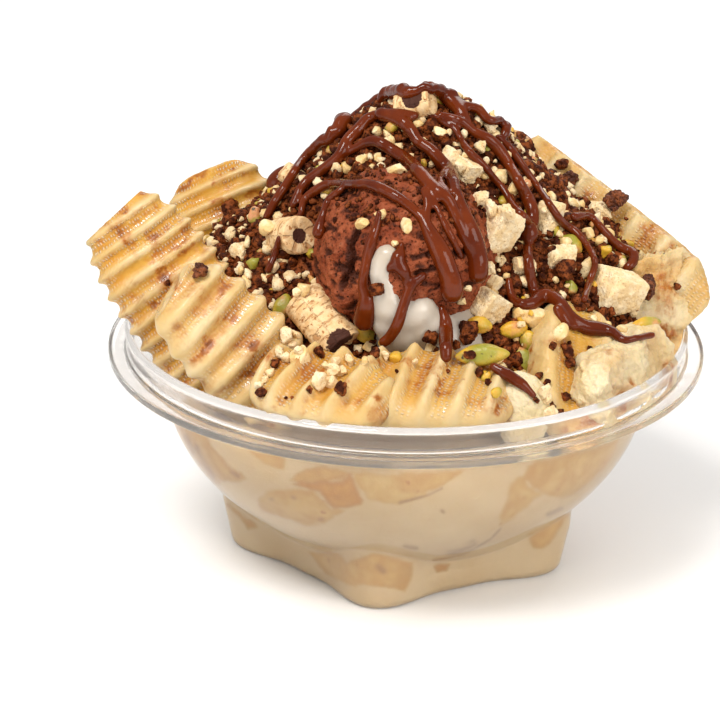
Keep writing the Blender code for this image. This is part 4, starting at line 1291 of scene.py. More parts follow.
# The height or depth of each kind of relief and the size of its forms
BROAD, FINE, TEAR = (0.0015, 0.016), (0.00055, 0.0022), (0.0017, 0.0075)
TEAR_FLATNESS = np.array((1.0, 1.0, 2.4))
PIT, PORE = (0.00070, 0.0034), (0.00035, 0.0014)
CREVICE, LUMP = (0.0030, 0.0010), (0.0022, 0.0042)
CREVICE_PIXELS = ((356, 232), (350, 246), (352, 258), (348, 270), (343, 283))
LUMP_PIXEL = (342, 300)


def scoop_point(px, py):
    """Where a sight line meets the plain ball of the scoop, or comes nearest to it."""
    direction = np.array(sight_line(px, py))
    towards = SCOOP_CENTRE - EYE_POINT
    along = towards @ direction
    miss = towards @ towards - along * along
    depth = along - sqrt(max(SCOOP_RADIUS**2 - miss, 0.0))
    return EYE_POINT + direction * depth


def pits_at(points, size, reach):
    """1 in the middle of scattered round pits of this spacing, 0 between them."""
    return 1 - smooth_step(cell_gaps(points, size), 0.0, reach)


print("the crevice starts at", scoop_point(*CREVICE_PIXELS[0]).round(3))

# %% Build the scoop
rays, faces = ball(SCOOP_LEVELS)
points = SCOOP_CENTRE + rays * SCOOP_RADIUS
tears = np.maximum(fractal(points * TEAR_FLATNESS, TEAR[1], 4, 2.0) - 0.12, 0)
broad = BROAD[0] * fractal(points, BROAD[1], 2)
out = FINE[0] * fractal(points, FINE[1], 4, 4.0) - TEAR[0] * tears
out -= PIT[0] * pits_at(points, PIT[1], 0.34) * (fractal(points, 0.008, 2, 9.0) > -0.1)
out -= PORE[0] * pits_at(points, PORE[1], 0.40)
path = [scoop_point(*pixel) for pixel in CREVICE_PIXELS]
out -= CREVICE[0] * near_path(points, path, CREVICE[1])
lump = np.linalg.norm(points - scoop_point(*LUMP_PIXEL), axis=1)
broad += LUMP[0] * np.exp(-((lump / LUMP[1]) ** 4))
made = outwards(add_form("chocolate_scoop_torn", points + rays * (broad + out)[:, None], faces, ice_cream))
store(made.data, "raised", np.clip(0.5 + out / SCOOP_SHADED, 0, 1))
store(made.data, "open", smooth_step(points[:, 2], *SCOOP_CRUMBED))
scoop = finish(made, "ice_cream", "chocolate_scoop")

# %% [markdown]
# ## White cream
# The cream is soft, so it takes the shape of what it lies on, with rounded folds. Balls along its path are joined by
# a voxel remesh and then smoothed, as dough balls are when they are pressed together.

# %% Cream sizes
CREAM_CENTRE = np.array((0.0060, -0.0340, 0.0790))
CREAM_SIZE = np.array((0.0205, 0.0165, 0.0165))
# Pixel and radius of each dollop that runs down over the scoop
CREAM_RUN = (
    ((388, 257), 0.0036), ((384, 266), 0.0038), ((382, 275), 0.0040), ((385, 285), 0.0044), ((387, 296), 0.0050),
    ((392, 307), 0.0060), ((404, 312), 0.0066), ((417, 312), 0.0066), ((424, 322), 0.0076), ((392, 320), 0.0064),
    ((402, 328), 0.0080), ((398, 341), 0.0078), ((416, 344), 0.0086),
)
REMESH = 0.00055
CREAM_SOFTENING = 26
CREAM_SUNK = 0.45
CREAM_FOLD = (0.0010, 0.014)
CREAM_FOLD_SHAPE = np.array((0.6, 1.0, 1.6))


def fused(name, parts, voxel, smoothing):
    """Joins closed forms, given as points and faces, into one smooth skin."""
    made = add_form(name, *joined(parts))
    remesh = made.modifiers.new("join", "REMESH")
    remesh.mode, remesh.voxel_size = "VOXEL", voxel
    soften = made.modifiers.new("soften", "SMOOTH")
    soften.factor, soften.iterations = 0.5, smoothing
    return outwards(plain_mesh(made))


rays, faces = ball(4)
parts = [(CREAM_CENTRE + rays * CREAM_SIZE, faces)]
inward = (SCOOP_CENTRE - EYE_POINT) / np.linalg.norm(SCOOP_CENTRE - EYE_POINT)
for pixel, radius in CREAM_RUN:
    parts.append((scoop_point(*pixel) + inward * radius * CREAM_SUNK + rays * radius, faces))
made = fused("white_cream_run", parts, REMESH, CREAM_SOFTENING)
points = points_of(made.data)
folds = CREAM_FOLD[0] * fractal(points * CREAM_FOLD_SHAPE, CREAM_FOLD[1], 1, 6.0)
move_points(made.data, points + normals_of(made.data) * folds[:, None])
made.data.materials.append(cream_paint)
cream = finish(made, "cream", "white_cream")

# %% [markdown]
# ## The heap
# Under the toppings lies a heap of brownie crumbs. What is finer than a grain of rice is relief on the heap's own
# skin: round lumps of crumb size with a rougher grain on them. The larger crumbs are real grains, strewn on it
# later. The heap is a steep dome on a shelf that dips towards the front and the back.

# %% Heap sizes
HEAP_CENTRE = np.array((0.0045, 0.0120, 0.0))
HEAP_FOOT = 0.0578
HEAP_TOP = 0.1388
HEAP_RADII = (0.0740, 0.0660)
HEAP_SHELF = 0.0230
HEAP_SIDE_LIFT = 0.0150
HEAP_SPREAD = 0.0395
HEAP_FALL = 2.2
HEAP_EDGE = 8
HEAP_SIDES = 420
HEAP_RINGS = 150
# The height of each kind of relief and the size of its forms
CRUMB_LUMP, CRUMB_GRAIN, HEAP_SWELL = (0.0012, 0.0030), (0.0008, 0.0016), (0.0016, 0.012)


def heap_height(share, angle):
    x, y = HEAP_RADII[0] * share * np.cos(angle), HEAP_RADII[1] * share * np.sin(angle)
    edge = np.sqrt(1 - share**HEAP_EDGE)
    shelf = HEAP_SHELF + HEAP_SIDE_LIFT * np.cos(angle) ** 2
    dome = (HEAP_TOP - HEAP_FOOT - shelf) * np.exp(-((np.hypot(x, y) / HEAP_SPREAD) ** HEAP_FALL))
    return np.stack([x, y, HEAP_FOOT + (shelf + dome) * edge], 1) + HEAP_CENTRE


print("the top of the heap is at", heap_height(np.zeros(1), np.zeros(1))[0])

# %% Build the heap
angles = np.arange(HEAP_SIDES) * tau / HEAP_SIDES
shares = np.sin(np.linspace(0.006, 1, HEAP_RINGS) * pi / 2)
rings = [heap_height(np.full(HEAP_SIDES, share), angles) for share in shares]
sunk = [rings[-1] - np.array((0, 0, 0.001)), rings[-1] * 0.5 + np.array((0, 0, 0.5 * HEAP_FOOT - 0.001))]
made = net("brownie_heap", rings + sunk)
points, out = points_of(made.data), normals_of(made.data)
relief = CRUMB_LUMP[0] * (0.55 - cell_gaps(points, CRUMB_LUMP[1]))
relief += CRUMB_GRAIN[0] * fractal(points, CRUMB_GRAIN[1], 3)
relief += HEAP_SWELL[0] * fractal(points, HEAP_SWELL[1], 2)
points = points + out * (relief * smooth_step(points[:, 2], HEAP_FOOT, HEAP_FOOT + 0.01))[:, None]
move_points(made.data, press_in(points))
made.data.materials.append(dry["brownie crumb"])
heap = finish(made, "crumbs", "crumb_heap")

# %% [markdown]
# ## Toppings
# Every topping that is as large as a berry is a piece of its own. They differ in one rule, how far the skin lies
# from the middle in each direction. A set of planes gives the flat faces of a chopped nut or a broken biscuit, and
# a high power rounds the edges between them. Noise in several sizes gives the crumb.


# %% Rounded rocks
def rounded_planes(rays, planes, power):
    """How far out a form with these flat sides reaches along each ray. A high power gives sharp edges."""
    reach = np.maximum(rays @ np.array(planes).T, 0)
    return (reach**power).sum(axis=1) ** (-1 / power)


def random_planes(draw, count):
    normals = draw.normal(size=(count, 3))
    normals /= np.linalg.norm(normals, axis=1)[:, None]
    return normals / draw.uniform(0.82, 1.1, (count, 1))


def nodules(points, size):
    """Relief of small round crumbs pressed together, from -1 between them to 1 on top."""
    return 1 - 2 * np.clip(cell_gaps(points, size) / 0.8, 0, 1) ** 2


BOX_PLANES = [(1, 0, 0), (-1, 0, 0), (0, 1, 0), (0, -1, 0), (0, 0, 1), (0, 0, -1)]
# How many extra planes cut a form, the power of its edges, depth and size of its roughness and of its crumb, in metres
PLAIN_ROCK = {"boxy": False, "cuts": 9, "grain": 0.0026, "crumb": 0.0, "crumb size": 0.0010, "levels": 6}
ROCKS = {
    "biscuit": {**PLAIN_ROCK, "boxy": True, "cuts": 5, "power": 20, "rough": 0.00038, "crumb": 0.00012},
    "nut": {**PLAIN_ROCK, "cuts": 12, "power": 26, "rough": 0.00008, "grain": 0.0020, "levels": 5},
    "brownie": {**PLAIN_ROCK, "power": 7, "rough": 0.00060, "crumb": 0.00034, "crumb size": 0.0011},
}


def rock(look, size, seed):
    """Points and faces of one uneven lump of this full size, about its own middle."""
    draw = np.random.default_rng(seed)
    rays, faces = ball(look["levels"])
    cuts, box = random_planes(draw, look["cuts"]), np.array(BOX_PLANES, float)
    planes = np.concatenate([cuts * 0.86, box] if look["boxy"] else [cuts, box * 0.8])
    points = rays * rounded_planes(rays, planes, look["power"])[:, None] * np.array(size) / 2
    span = points.max(axis=0) - points.min(axis=0)
    points = (points - (points.max(axis=0) + points.min(axis=0)) / 2) * np.array(size) / span
    relief = look["rough"] * fractal(points, look["grain"], 4, seed * 3.1)
    if look["crumb"]:
        relief += look["crumb"] * nodules(points + seed, look["crumb size"])
    return points + rays * relief[:, None], faces


print("kinds of rock:", ", ".join(ROCKS))

# %% Biscuits, nuts and brownie pieces
# Turn in degrees and size in metres of each
BISCUITS = (
    ((10, 20, 30), (0.0130, 0.0120, 0.0120)), ((8, 10, 60), (0.0064, 0.0060, 0.0112)),
    ((30, 15, 20), (0.0082, 0.0070, 0.0070)), ((20, 40, 10), (0.0070, 0.0060, 0.0070)),
    ((12, 25, 35), (0.0112, 0.0090, 0.0122)), ((25, 10, 50), (0.0072, 0.0062, 0.0078)),
    ((15, 30, 45), (0.0098, 0.0080, 0.0082)), ((40, 5, 20), (0.0060, 0.0054, 0.0082)),
)
NUTS = (
    ((20, 10, 15), (0.0100, 0.0060, 0.0072)), ((10, 15, 10), (0.0050, 0.0046, 0.0086)),
    ((15, 25, 20), (0.0062, 0.0050, 0.0082)), ((30, 20, 40), (0.0066, 0.0048, 0.0060)),
    ((15, 30, 50), (0.0062, 0.0046, 0.0064)),
)
BROWNIES = (0.0024, 0.0035, 0.0035, 0.0028)
BROWNIE_SHAPE = (1.75, 1.5, 1.85)
BROWNIE_TURN = (20, 35, 50)
SINK = 0.0006


def degrees_turn(turn):
    return Euler([radians(angle) for angle in turn]).to_matrix()


def settled(points, tree):
    """Moves a piece that hangs clear of the food the short way onto it, until it has sunk in a little."""
    found = [tree.find_nearest(Vector(point)) for point in points]
    heights = [(Vector(point) - place).dot(normal) for point, (place, normal, _, _) in zip(points, found)]
    lowest = int(np.argmin(heights))
    return points - np.array(found[lowest][1]) * max(heights[lowest] + SINK, 0.0)


def make_rock(kind, number, turn, size):
    points, faces = rock(ROCKS[kind], size, number * 7 + len(kind))
    node = f"{kind}_{number}"
    points = turned(points, degrees_turn(turn)) + node_middle(node)
    if kind == "brownie":
        points = settled(points, under_brownies)
    return finish(outwards(add_form(node + "_piece", points, faces, dry[kind])), kind, node)


under_brownies = surface(slabs + [heap])
toppings = [make_rock("biscuit", i + 1, *item) for i, item in enumerate(BISCUITS)]
toppings += [make_rock("nut", i + 1, *item) for i, item in enumerate(NUTS)]
for i, radius in enumerate(BROWNIES):
    turn, size = [angle * i for angle in BROWNIE_TURN], [side * radius for side in BROWNIE_SHAPE]
    toppings.append(make_rock("brownie", i + 1, turn, size))

# %% [markdown]
# A shelled pistachio is a tapered oval, split along one side, with low ribs where the skin was. It is a ball again,
# drawn out along one axis, and each lies at the angle at which the camera sees it.

# %% Pistachios
# Turn on the view and length and width of each
PISTACHIOS = (
    (4, (0.0152, 0.0064)), (-58, (0.0096, 0.0062)), (70, (0.0086, 0.0058)), (-50, (0.0074, 0.0056)),
    (12, (0.0092, 0.0048)), (-30, (0.0070, 0.0060)), (-35, (0.0076, 0.0058)), (10, (0.0088, 0.0052)),
    (-55, (0.0074, 0.0056)), (-8, (0.0078, 0.0050)),
)
PISTACHIO_FLATNESS = 0.82
TAPER = 0.30
SPLIT_DEPTH, SPLIT_WIDTH = 0.055, 0.12
RIB_COUNT, RIB_HEIGHT = 5, 0.030


def view_turn(degrees, tilt=0):
    """Turns a piece that lies along X so that the camera sees it at this angle."""
    turn = Matrix.Rotation(-VIEW_RISE, 4, "X") @ Matrix.Rotation(-radians(degrees), 4, "Y")
    return (turn @ Matrix.Rotation(-radians(tilt), 4, "Z")).to_3x3()


def make_pistachio(number, degrees, size):
    rays, faces = ball(5)
    length, width = size
    points = rays.copy()
    points[:, 1:] *= (1 - TAPER * np.abs(points[:, 0]) ** 2.2)[:, None]
    around = np.arctan2(points[:, 2], points[:, 1])
    split = np.exp(-((np.abs(around) - pi / 2) / SPLIT_WIDTH) ** 2) * (1 - points[:, 0] ** 2)
    ribs = RIB_HEIGHT * np.sin(around * RIB_COUNT + number) * (1 - points[:, 0] ** 4) - SPLIT_DEPTH * split
    points[:, 1:] *= (1 + ribs)[:, None]
    points *= 1 + 0.07 * fractal(points, 0.9, 2, number * 2.3)[:, None]
    points *= np.array((length, width * PISTACHIO_FLATNESS, width)) / 2
    node = f"pistachio_{number}"
    points = turned(points, view_turn(degrees)) + node_middle(node)
    return finish(outwards(add_form(node + "_kernel", points, faces, pistachio_paint)), "pistachio", node)


toppings += [make_pistachio(i + 1, *item) for i, item in enumerate(PISTACHIOS)]

# %% [markdown]
# ## Wafer rolls
# A wafer roll is a thin biscuit wound round a chocolate core and cut. Its outside is blistered in rings, and where
# it was broken the chocolate shows. The roll is a net of rings, and a stored number marks the chocolate, so that
# one material dresses both.

# %% Wafer material
# Blistered wafer with cracks that are darkened as painted shade, and dark chocolate where the roll stores it
WAFER_BODY = (0.760, 0.480, 0.220)
WAFER_PALE = (0.860, 0.620, 0.340)
# The baked brown of the blisters, also used as painted shade in the cracks
WAFER_BAKED_AND_CRACK_SHADE = (0.420, 0.170, 0.050)
WAFER_CHOCOLATE = (0.060, 0.016, 0.007)

wafer_paint, w, shader = new_material("wafer roll", Roughness=0.70, Specular_IOR_Level=0.3)
place = w.add("ShaderNodeTexCoord").outputs["Object"]
soft = patchy(w, 420.0, 0.52, 0.12, detail=5.0)
body = w.mix(soft, WAFER_PALE, WAFER_BODY)
baked = patchy(w, 700.0, 0.64, 0.05, detail=3.0)
blister = w.mix(baked, body, WAFER_BAKED_AND_CRACK_SHADE)
streak = w.add("ShaderNodeTexNoise", {"Vector": place, "Scale": 900.0, "Detail": 4.0}).outputs["Fac"]
wound = w.add("ShaderNodeCombineXYZ", {"X": w.times(stored(w, "along"), 900.0),
                                      "Y": w.times(stored(w, "across"), 220.0)}).outputs[0]
lines = w.add("ShaderNodeTexNoise", {"Vector": wound, "Scale": 1.0, "Detail": 2.0}, noise_dimensions="2D")
cracks = w.ramp(lines.outputs["Fac"], 0.56, 0.66, smooth=True)
# Painted shade in the cracks
crack_shaded = w.mix(w.times(cracks, 0.6), blister, WAFER_BAKED_AND_CRACK_SHADE)
split = w.add("ShaderNodeBump", {"Height": cracks, "Distance": -0.00025}).outputs["Normal"]
edge = w.plus(stored(w, "chocolate"), w.times(w.minus(streak, 0.5), 0.9))
chocolate = w.ramp(edge, 0.46, 0.56)
colour = w.mix(chocolate, crack_shaded, WAFER_CHOCOLATE)
fine = grained(w, 1500.0, 4.0, 0.00022, split)
paint(w, shader, colour, fine)

# %% Build the wafer rolls
# Turn and tilt on the view, width and length, and the pixel and reach of the chocolate
WAFER_ROLLS = (
    ((-50, 20), (0.0130, 0.0200), (338, 341), 0.0046),
    ((0, 62), (0.0112, 0.0120), (300, 236), 0.0024),
    ((12, 20), (0.0082, 0.0112), (411, 96), 0.0034),
    ((-35, 15), (0.0064, 0.0090), (305, 170), 0.0014),
)
ROLL_SIDES = 72
ROLL_STEP = 0.0003
# The share of the radius and of the length at each ring of an end
ROLL_END = ((0.12, 0.44), (0.30, 0.455), (0.50, 0.475), (0.66, 0.485), (0.82, 0.492), (0.93, 0.496), (0.985, 0.490))
BLISTER_HEIGHT, BLISTER_SIZE, BLISTER_SHAPE = 0.00014, 0.0011, np.array((1.0, 0.45, 0.45))
CHIP_DEPTH, CHIP_SIZE = 0.0006, 0.0028


def roll_form(width, length):
    """Rings of one roll along X, with ends that are a little broken and hollow in the middle."""
    angles = np.arange(ROLL_SIDES) * tau / ROLL_SIDES
    radius, rings = width / 2, []
    left = [(share, -x) for share, x in ROLL_END]
    side = [(1.0, x) for x in np.linspace(-0.475, 0.475, int(length / ROLL_STEP))]
    for share, x in left + side + list(ROLL_END[::-1]):
        rings.append(np.stack([np.full(ROLL_SIDES, x * length), radius * share * np.cos(angles),
                               radius * share * np.sin(angles)], 1))
    return rings


def make_roll(number, turns, size, pixel, reach):
    made = net(f"wafer_roll_{number}_blistered", roll_form(*size))
    points = points_of(made.data)
    ends = smooth_step(np.abs(points[:, 0]), size[1] * 0.40, size[1] * 0.5)
    blister = fractal(points * BLISTER_SHAPE, BLISTER_SIZE, 3, number * 4.0) + 0.8 * fractal(points, 0.0035, 2, number)
    store(made.data, "along", points[:, 0])
    store(made.data, "across", np.arctan2(points[:, 2], points[:, 1]) * size[0] / 2)
    chips = np.minimum(fractal(points, CHIP_SIZE, 3, number * 2.0), 0) * ends * CHIP_DEPTH
    out = normals_of(made.data)
    points = points + out * (BLISTER_HEIGHT * blister)[:, None] + out * chips[:, None]
    node = f"wafer_roll_{number}"
    points = turned(points, view_turn(*turns)) + node_middle(node)
    move_points(made.data, points)
    spot = surface([made]).find_nearest(seen_near(pixel, node_middle(node), size[0] / 2))[0]
    gap = np.linalg.norm(points - np.array(spot), axis=1)
    store(made.data, "chocolate", 1 - smooth_step(gap, reach * 0.55, reach * 1.35))
    made.data.materials.append(wafer_paint)
    return finish(made, "wafer", node)


def seen_near(pixel, middle, radius):
    """The point of a sight line that is nearest to a piece, on the camera's side of it."""
    direction = np.array(sight_line(*pixel))
    along = (middle - EYE_POINT) @ direction
    return Vector(EYE_POINT + direction * (along - radius))


toppings += [make_roll(i + 1, *item) for i, item in enumerate(WAFER_ROLLS)]
print(len(toppings), "toppings")

# %% [markdown]
# ## Broken bits
# Many bits are too small to be pieces of their own, but big enough to see. Each is named by its pixel and its
# width in pixels, and laid where that sight line meets the food. They are strewn before the sauce, which runs over
# them. Bits of one kind are one piece.

# %% Where the bits lie
# The pixel of each and its width in pixels
NUT_BITS = (
    (378, 132, 11), (389, 134, 8), (364, 161, 15), (377, 157, 9), (348, 170, 12), (338, 168, 7), (382, 215, 13),
    (406, 225, 13), (363, 226, 14), (395, 243, 8), (439, 133, 14), (467, 156, 10), (304, 291, 13), (299, 292, 10),
    (370, 348, 14), (364, 362, 8), (594, 321, 9), (585, 234, 12), (559, 333, 16), (517, 313, 18), (249, 283, 14),
    (235, 219, 9), (270, 228, 15), (265, 281, 9), (430, 347, 13), (497, 176, 13), (623, 331, 10), (565, 216, 9),
    (551, 199, 12), (461, 301, 9), (467, 289, 8), (607, 325, 7), (517, 248, 7), (502, 259, 9), (516, 146, 7),
)
PALE_BITS = (
    (476, 121, 12), (490, 128, 17), (498, 127, 9), (455, 148, 12), (451, 158, 19), (463, 165, 12), (473, 186, 9),
    (479, 201, 18), (494, 209, 16), (506, 215, 14), (501, 190, 9), (491, 280, 20), (487, 268, 14), (480, 148, 13),
    (243, 220, 8), (235, 236, 17), (241, 254, 20), (217, 246, 17), (241, 270, 13), (277, 268, 14), (282, 262, 10),
    (290, 277, 13), (286, 338, 15), (296, 336, 9), (278, 352, 11), (286, 360, 11), (271, 374, 9), (260, 386, 9),
    (318, 381, 16), (329, 382, 13), (331, 371, 12), (341, 371, 10), (349, 361, 11), (335, 362, 9), (325, 366, 8),
    (542, 392, 13), (546, 399, 10), (548, 413, 11), (430, 340, 9), (562, 230, 8), (598, 220, 9), (545, 210, 8),
    (384, 356, 8), (413, 362, 7), (300, 352, 9), (292, 345, 7), (266, 380, 7), (520, 325, 8), (472, 262, 6),
)
DARK_BITS = (
    (231, 211, 17), (222, 252, 15), (230, 274, 14), (241, 262, 10), (285, 283, 8), (274, 365, 10), (263, 394, 10),
    (309, 389, 6), (339, 390, 12), (168, 283, 6), (560, 164, 12), (552, 346, 7), (569, 343, 4), (589, 349, 5),
    (566, 352, 13), (569, 363, 12), (564, 398, 10), (602, 313, 18), (579, 306, 18), (609, 262, 15), (562, 268, 20),
    (584, 210, 14), (612, 232, 12), (430, 336, 16), (433, 351, 13), (379, 289, 14), (467, 334, 20), (464, 328, 13),
    (497, 342, 15), (485, 338, 12), (552, 406, 9), (558, 414, 10), (676, 286, 7), (619, 225, 4), (627, 219, 4),
    (520, 138, 10), (529, 148, 13), (534, 158, 9), (541, 178, 9), (547, 190, 8), (318, 352, 12),
    (355, 352, 12), (376, 356, 10), (470, 355, 10), (455, 345, 9), (542, 300, 9),
    (477, 373, 9), (489, 383, 8), (540, 376, 7), (547, 385, 8), (536, 400, 7), (398, 372, 5), (447, 371, 5),
    (556, 301, 10), (597, 299, 9), (610, 311, 10), (620, 318, 9), (590, 311, 8), (286, 398, 3), (293, 398, 3),
)
GREEN_BITS = (
    (258, 205, 6), (257, 218, 15), (384, 341, 8), (395, 359, 13), (568, 290, 15), (603, 254, 14), (617, 234, 11),
    (628, 244, 12), (620, 262, 11), (589, 241, 9), (510, 132, 8), (516, 143, 6), (486, 378, 10), (495, 393, 12),
    (272, 291, 5), (516, 297, 5), (526, 152, 6), (592, 228, 7), (612, 249, 7), (531, 313, 6), (560, 240, 6),
)
print(sum(map(len, (NUT_BITS, PALE_BITS, DARK_BITS, GREEN_BITS))), "bits")

# %% Lay the bits
# The places of each kind, its material and slot, and its shape
BITS = {
    "nut_bits": (NUT_BITS, dry["nut"], "nut",
                 {"cuts": 11, "power": 14, "rough": 0.00006, "grain": 0.001}),
    "pale_bits": (PALE_BITS, dry["biscuit"], "biscuit",
                  {"cuts": 8, "power": 14, "rough": 0.00030, "grain": 0.0016, "crumb": 0.00008}),
    "dark_bits": (DARK_BITS, dry["brownie crumb"], "crumbs",
                  {"power": 8, "rough": 0.00035, "grain": 0.0014, "crumb": 0.00018}),
    "green_bits": (GREEN_BITS, pistachio_paint, "pistachio",
                   {"cuts": 12, "power": 7, "rough": 0.00008, "grain": 0.002}),
}
BIT_LEVELS = 4
BIT_LIFT = 0.22
FULLY_ROUGH = 0.003
MIDDLE_PIXEL = (430, 290)
DRAW_IN = 0.01


def met(px, py, tree):
    """Where a sight line meets the food. A pixel just off its edge is drawn in until it does."""
    for step in range(40):
        share = 1 - DRAW_IN * step
        pixel = [middle + (co - middle) * share for co, middle in zip((px, py), MIDDLE_PIXEL)]
        place, normal, _, depth = tree.ray_cast(EYE, sight_line(*pixel))
        if place is not None:
            return np.array(place), np.array(normal), depth
    raise ValueError(f"no food at {px}, {py}")


def random_turn(draw):
    return np.array(Euler(draw.uniform(0, tau, 3)).to_matrix())


def lay_bits(name, bits, material, look, seed):
    draw, parts = np.random.default_rng(seed), []
    for i, (px, py, width) in enumerate(bits):
        place, normal, depth = met(px, py, carriers)
        size = width * depth / VIEW_FOCAL
        sides = size * draw.uniform(0.8, 1.15, 3)
        rough = look["rough"] * min(size / FULLY_ROUGH, 1.5)
        shape = {**PLAIN_ROCK, **look, "levels": BIT_LEVELS, "rough": rough}
        points, faces = rock(shape, sides, seed * 100 + i)
        middle = place + normal * size * BIT_LIFT
        parts.append((turned(points, random_turn(draw)) + middle, faces))
    return add_form(name, *joined(parts), material)


carriers = surface([heap, scoop, cream, filling, tip] + slabs + toppings)
bits = []
for seed, (name, (places, material, slot, look)) in enumerate(BITS.items()):
    bits.append(finish(lay_bits(name, places, material, look, seed + 1), slot))

# %% [markdown]
# ## Loose crumbs
# The rest is strewn by a rule. Geometry Nodes scatters points over the heap, not closer than a crumb's width, picks
# one of a few grain shapes for each, and turns and sizes it at random. A number stored on the heap says where it is
# open: nothing is strewn where a slab or the scoop covers it. Each kind of grain has its own density and size.

# %% Grain shapes
GRAIN_CUTS = 10
GRAIN_SPREAD = 0.22
SHAPES_OF_EACH = 6


def grain_shapes(label, level, seed):
    """A collection of small uneven lumps, one unit across, with few faces each."""
    draw = np.random.default_rng(seed)
    held = bpy.data.collections.new(label)
    for i in range(SHAPES_OF_EACH):
        rays, faces = ball(level)
        planes = np.concatenate([random_planes(draw, GRAIN_CUTS), np.array(BOX_PLANES) * 0.8])
        uneven = draw.uniform(1 - GRAIN_SPREAD, 1 + GRAIN_SPREAD, (len(rays), 1))
        points = rays * rounded_planes(rays, planes, 6)[:, None] * uneven
        points *= draw.uniform(0.75, 1.2, 3) / 2
        shape = add_form(f"{label}_{i}", points, faces)
        bpy.context.scene.collection.objects.unlink(shape)
        held.objects.link(shape)
    return held


print("each kind of grain has", SHAPES_OF_EACH, "shapes")

# %% Strewing tree
def strewing_tree():
    inputs = {"Ground": None, "Spacing": 0.002, "Density": 100000.0, "Smallest": 0.001, "Largest": 0.002,
              "Lift": 0.0003, "Seed": 0}
    tree, w, given, out = new_tree("strewn grains", "GeometryNodeTree", inputs, {"Geometry": "NodeSocketGeometry"})
    open_ground = w.add("GeometryNodeInputNamedAttribute", {"Name": "open"}, data_type="FLOAT").outputs[0]
    spread = w.add("GeometryNodeDistributePointsOnFaces", {
        "Mesh": given["Ground"], "Distance Min": given["Spacing"], "Density Max": given["Density"],
        "Density Factor": open_ground, "Seed": given["Seed"],
    }, distribute_method="POISSON")
    raised = w.scale(spread.outputs["Normal"], given["Lift"])
    points = w.add("GeometryNodeSetPosition", {"Geometry": spread.outputs["Points"], "Offset": raised})
    shapes = w.add("GeometryNodeCollectionInfo", {"Separate Children": True, "Reset Children": True})
    turns = w.add("FunctionNodeRandomValue", {"Max": (tau, tau, tau), "Seed": given["Seed"]}, data_type="FLOAT_VECTOR")
    turned_by = w.add("FunctionNodeEulerToRotation", {"Euler": turns.outputs[0]}).outputs[0]
    sizes = w.add("FunctionNodeRandomValue", {2: given["Smallest"], 3: given["Largest"], "Seed": given["Seed"]},
                  data_type="FLOAT")
    set_out = w.add("GeometryNodeInstanceOnPoints", {
        "Points": points.outputs[0], "Instance": shapes.outputs[0], "Pick Instance": True, "Rotation": turned_by,
        "Scale": sizes.outputs[1],
    }).outputs[0]
    real = w.add("GeometryNodeRealizeInstances", {"Geometry": set_out}).outputs[0]
    dressed = w.add("GeometryNodeSetMaterial", {"Geometry": real})
    tree.links.new(dressed.outputs[0], out.inputs["Geometry"])
    return tree, shapes, dressed


strewing, grain_choice, grain_dress = strewing_tree()

# %% Where the heap is open
BARE_FOOT = 0.004
SUNK_GAP = 0.0008


def open_share(points):
    """1 where the heap's skin is in the open, 0 where a slab, the scoop or the cream covers it."""
    share = (points[:, 2] >= HEAP_FOOT + BARE_FOOT).astype(float)
    for piece in slabs + [scoop, cream]:
        tree, own = surface([piece]), points_of(piece.data)
        near = ((points > own.min(axis=0)) & (points < own.max(axis=0))).all(axis=1)
        for i in np.nonzero(near)[0]:
            place, normal, _, gap = tree.find_nearest(Vector(points[i]))
            if gap > SUNK_GAP and (Vector(points[i]) - place).dot(normal) < 0:
                share[i] = 0.0
    return share


heap_open = open_share(points_of(heap.data))
store(heap.data, "open", heap_open)
print(round(100 * heap_open.mean()), "% of the heap is open")

# %% Strew the crumbs
# Grain shapes' level of detail, spacing, density per square metre, sizes, lift, material, slot and seed
STREWN = {
    "scoop_crumbs": (1, 0.0012, 260000.0, (0.0008, 0.0020), 0.0003, dry["brownie crumb"], "crumbs", 4),
    "crumbs_coarse": (2, 0.0026, 90000.0, (0.0022, 0.0042), 0.0004, dry["brownie crumb"], "crumbs", 3),
    "crumbs_fine": (1, 0.0011, 420000.0, (0.0008, 0.0019), 0.0003, dry["brownie crumb"], "crumbs", 5),
    "biscuit_crumbs": (2, 0.0024, 60000.0, (0.0010, 0.0034), 0.0008, dry["biscuit"], "biscuit", 7),
    "nut_crumbs": (2, 0.0036, 24000.0, (0.0014, 0.0038), 0.0010, dry["nut"], "nut", 11),
    "pistachio_crumbs": (2, 0.0050, 9000.0, (0.0012, 0.0040), 0.0009, pistachio_paint, "pistachio", 13),
}
CLUSTER_SIZE = 0.015


def clustered(points, seed):
    """The share of pale grains that stay, so that they lie in clusters, with fewer near the top."""
    bare = 1 - smooth_step(fractal(points, CLUSTER_SIZE, 2, seed), -0.25, 0.20)
    return 1 - 0.85 * (bare * (1 - 0.6 * smooth_step(points[:, 2], 0.105, 0.125)))


def strew(name, level, spacing, density, sizes, lift, material, slot, seed):
    shapes = grain_shapes(name + "_shapes", level, seed)
    grain_choice.inputs["Collection"].default_value = shapes
    grain_dress.inputs["Material"].default_value = material
    values = {"Spacing": spacing, "Density": density, "Smallest": sizes[0], "Largest": sizes[1], "Lift": lift,
              "Seed": seed}
    ground = (scoop if name == "scoop_crumbs" else heap).data.copy()
    if slot != "crumbs":
        kept = heap_open * clustered(points_of(ground), seed)
        ground.attributes["open"].data.foreach_set("value", kept.astype(np.float32))
    made = grow(add_object(name, ground), strewing, values)
    for shape in list(shapes.objects):
        bpy.data.objects.remove(shape)
    bpy.data.collections.remove(shapes)
    return finish(made, slot)


strewn = [strew(name, *values) for name, values in STREWN.items()]

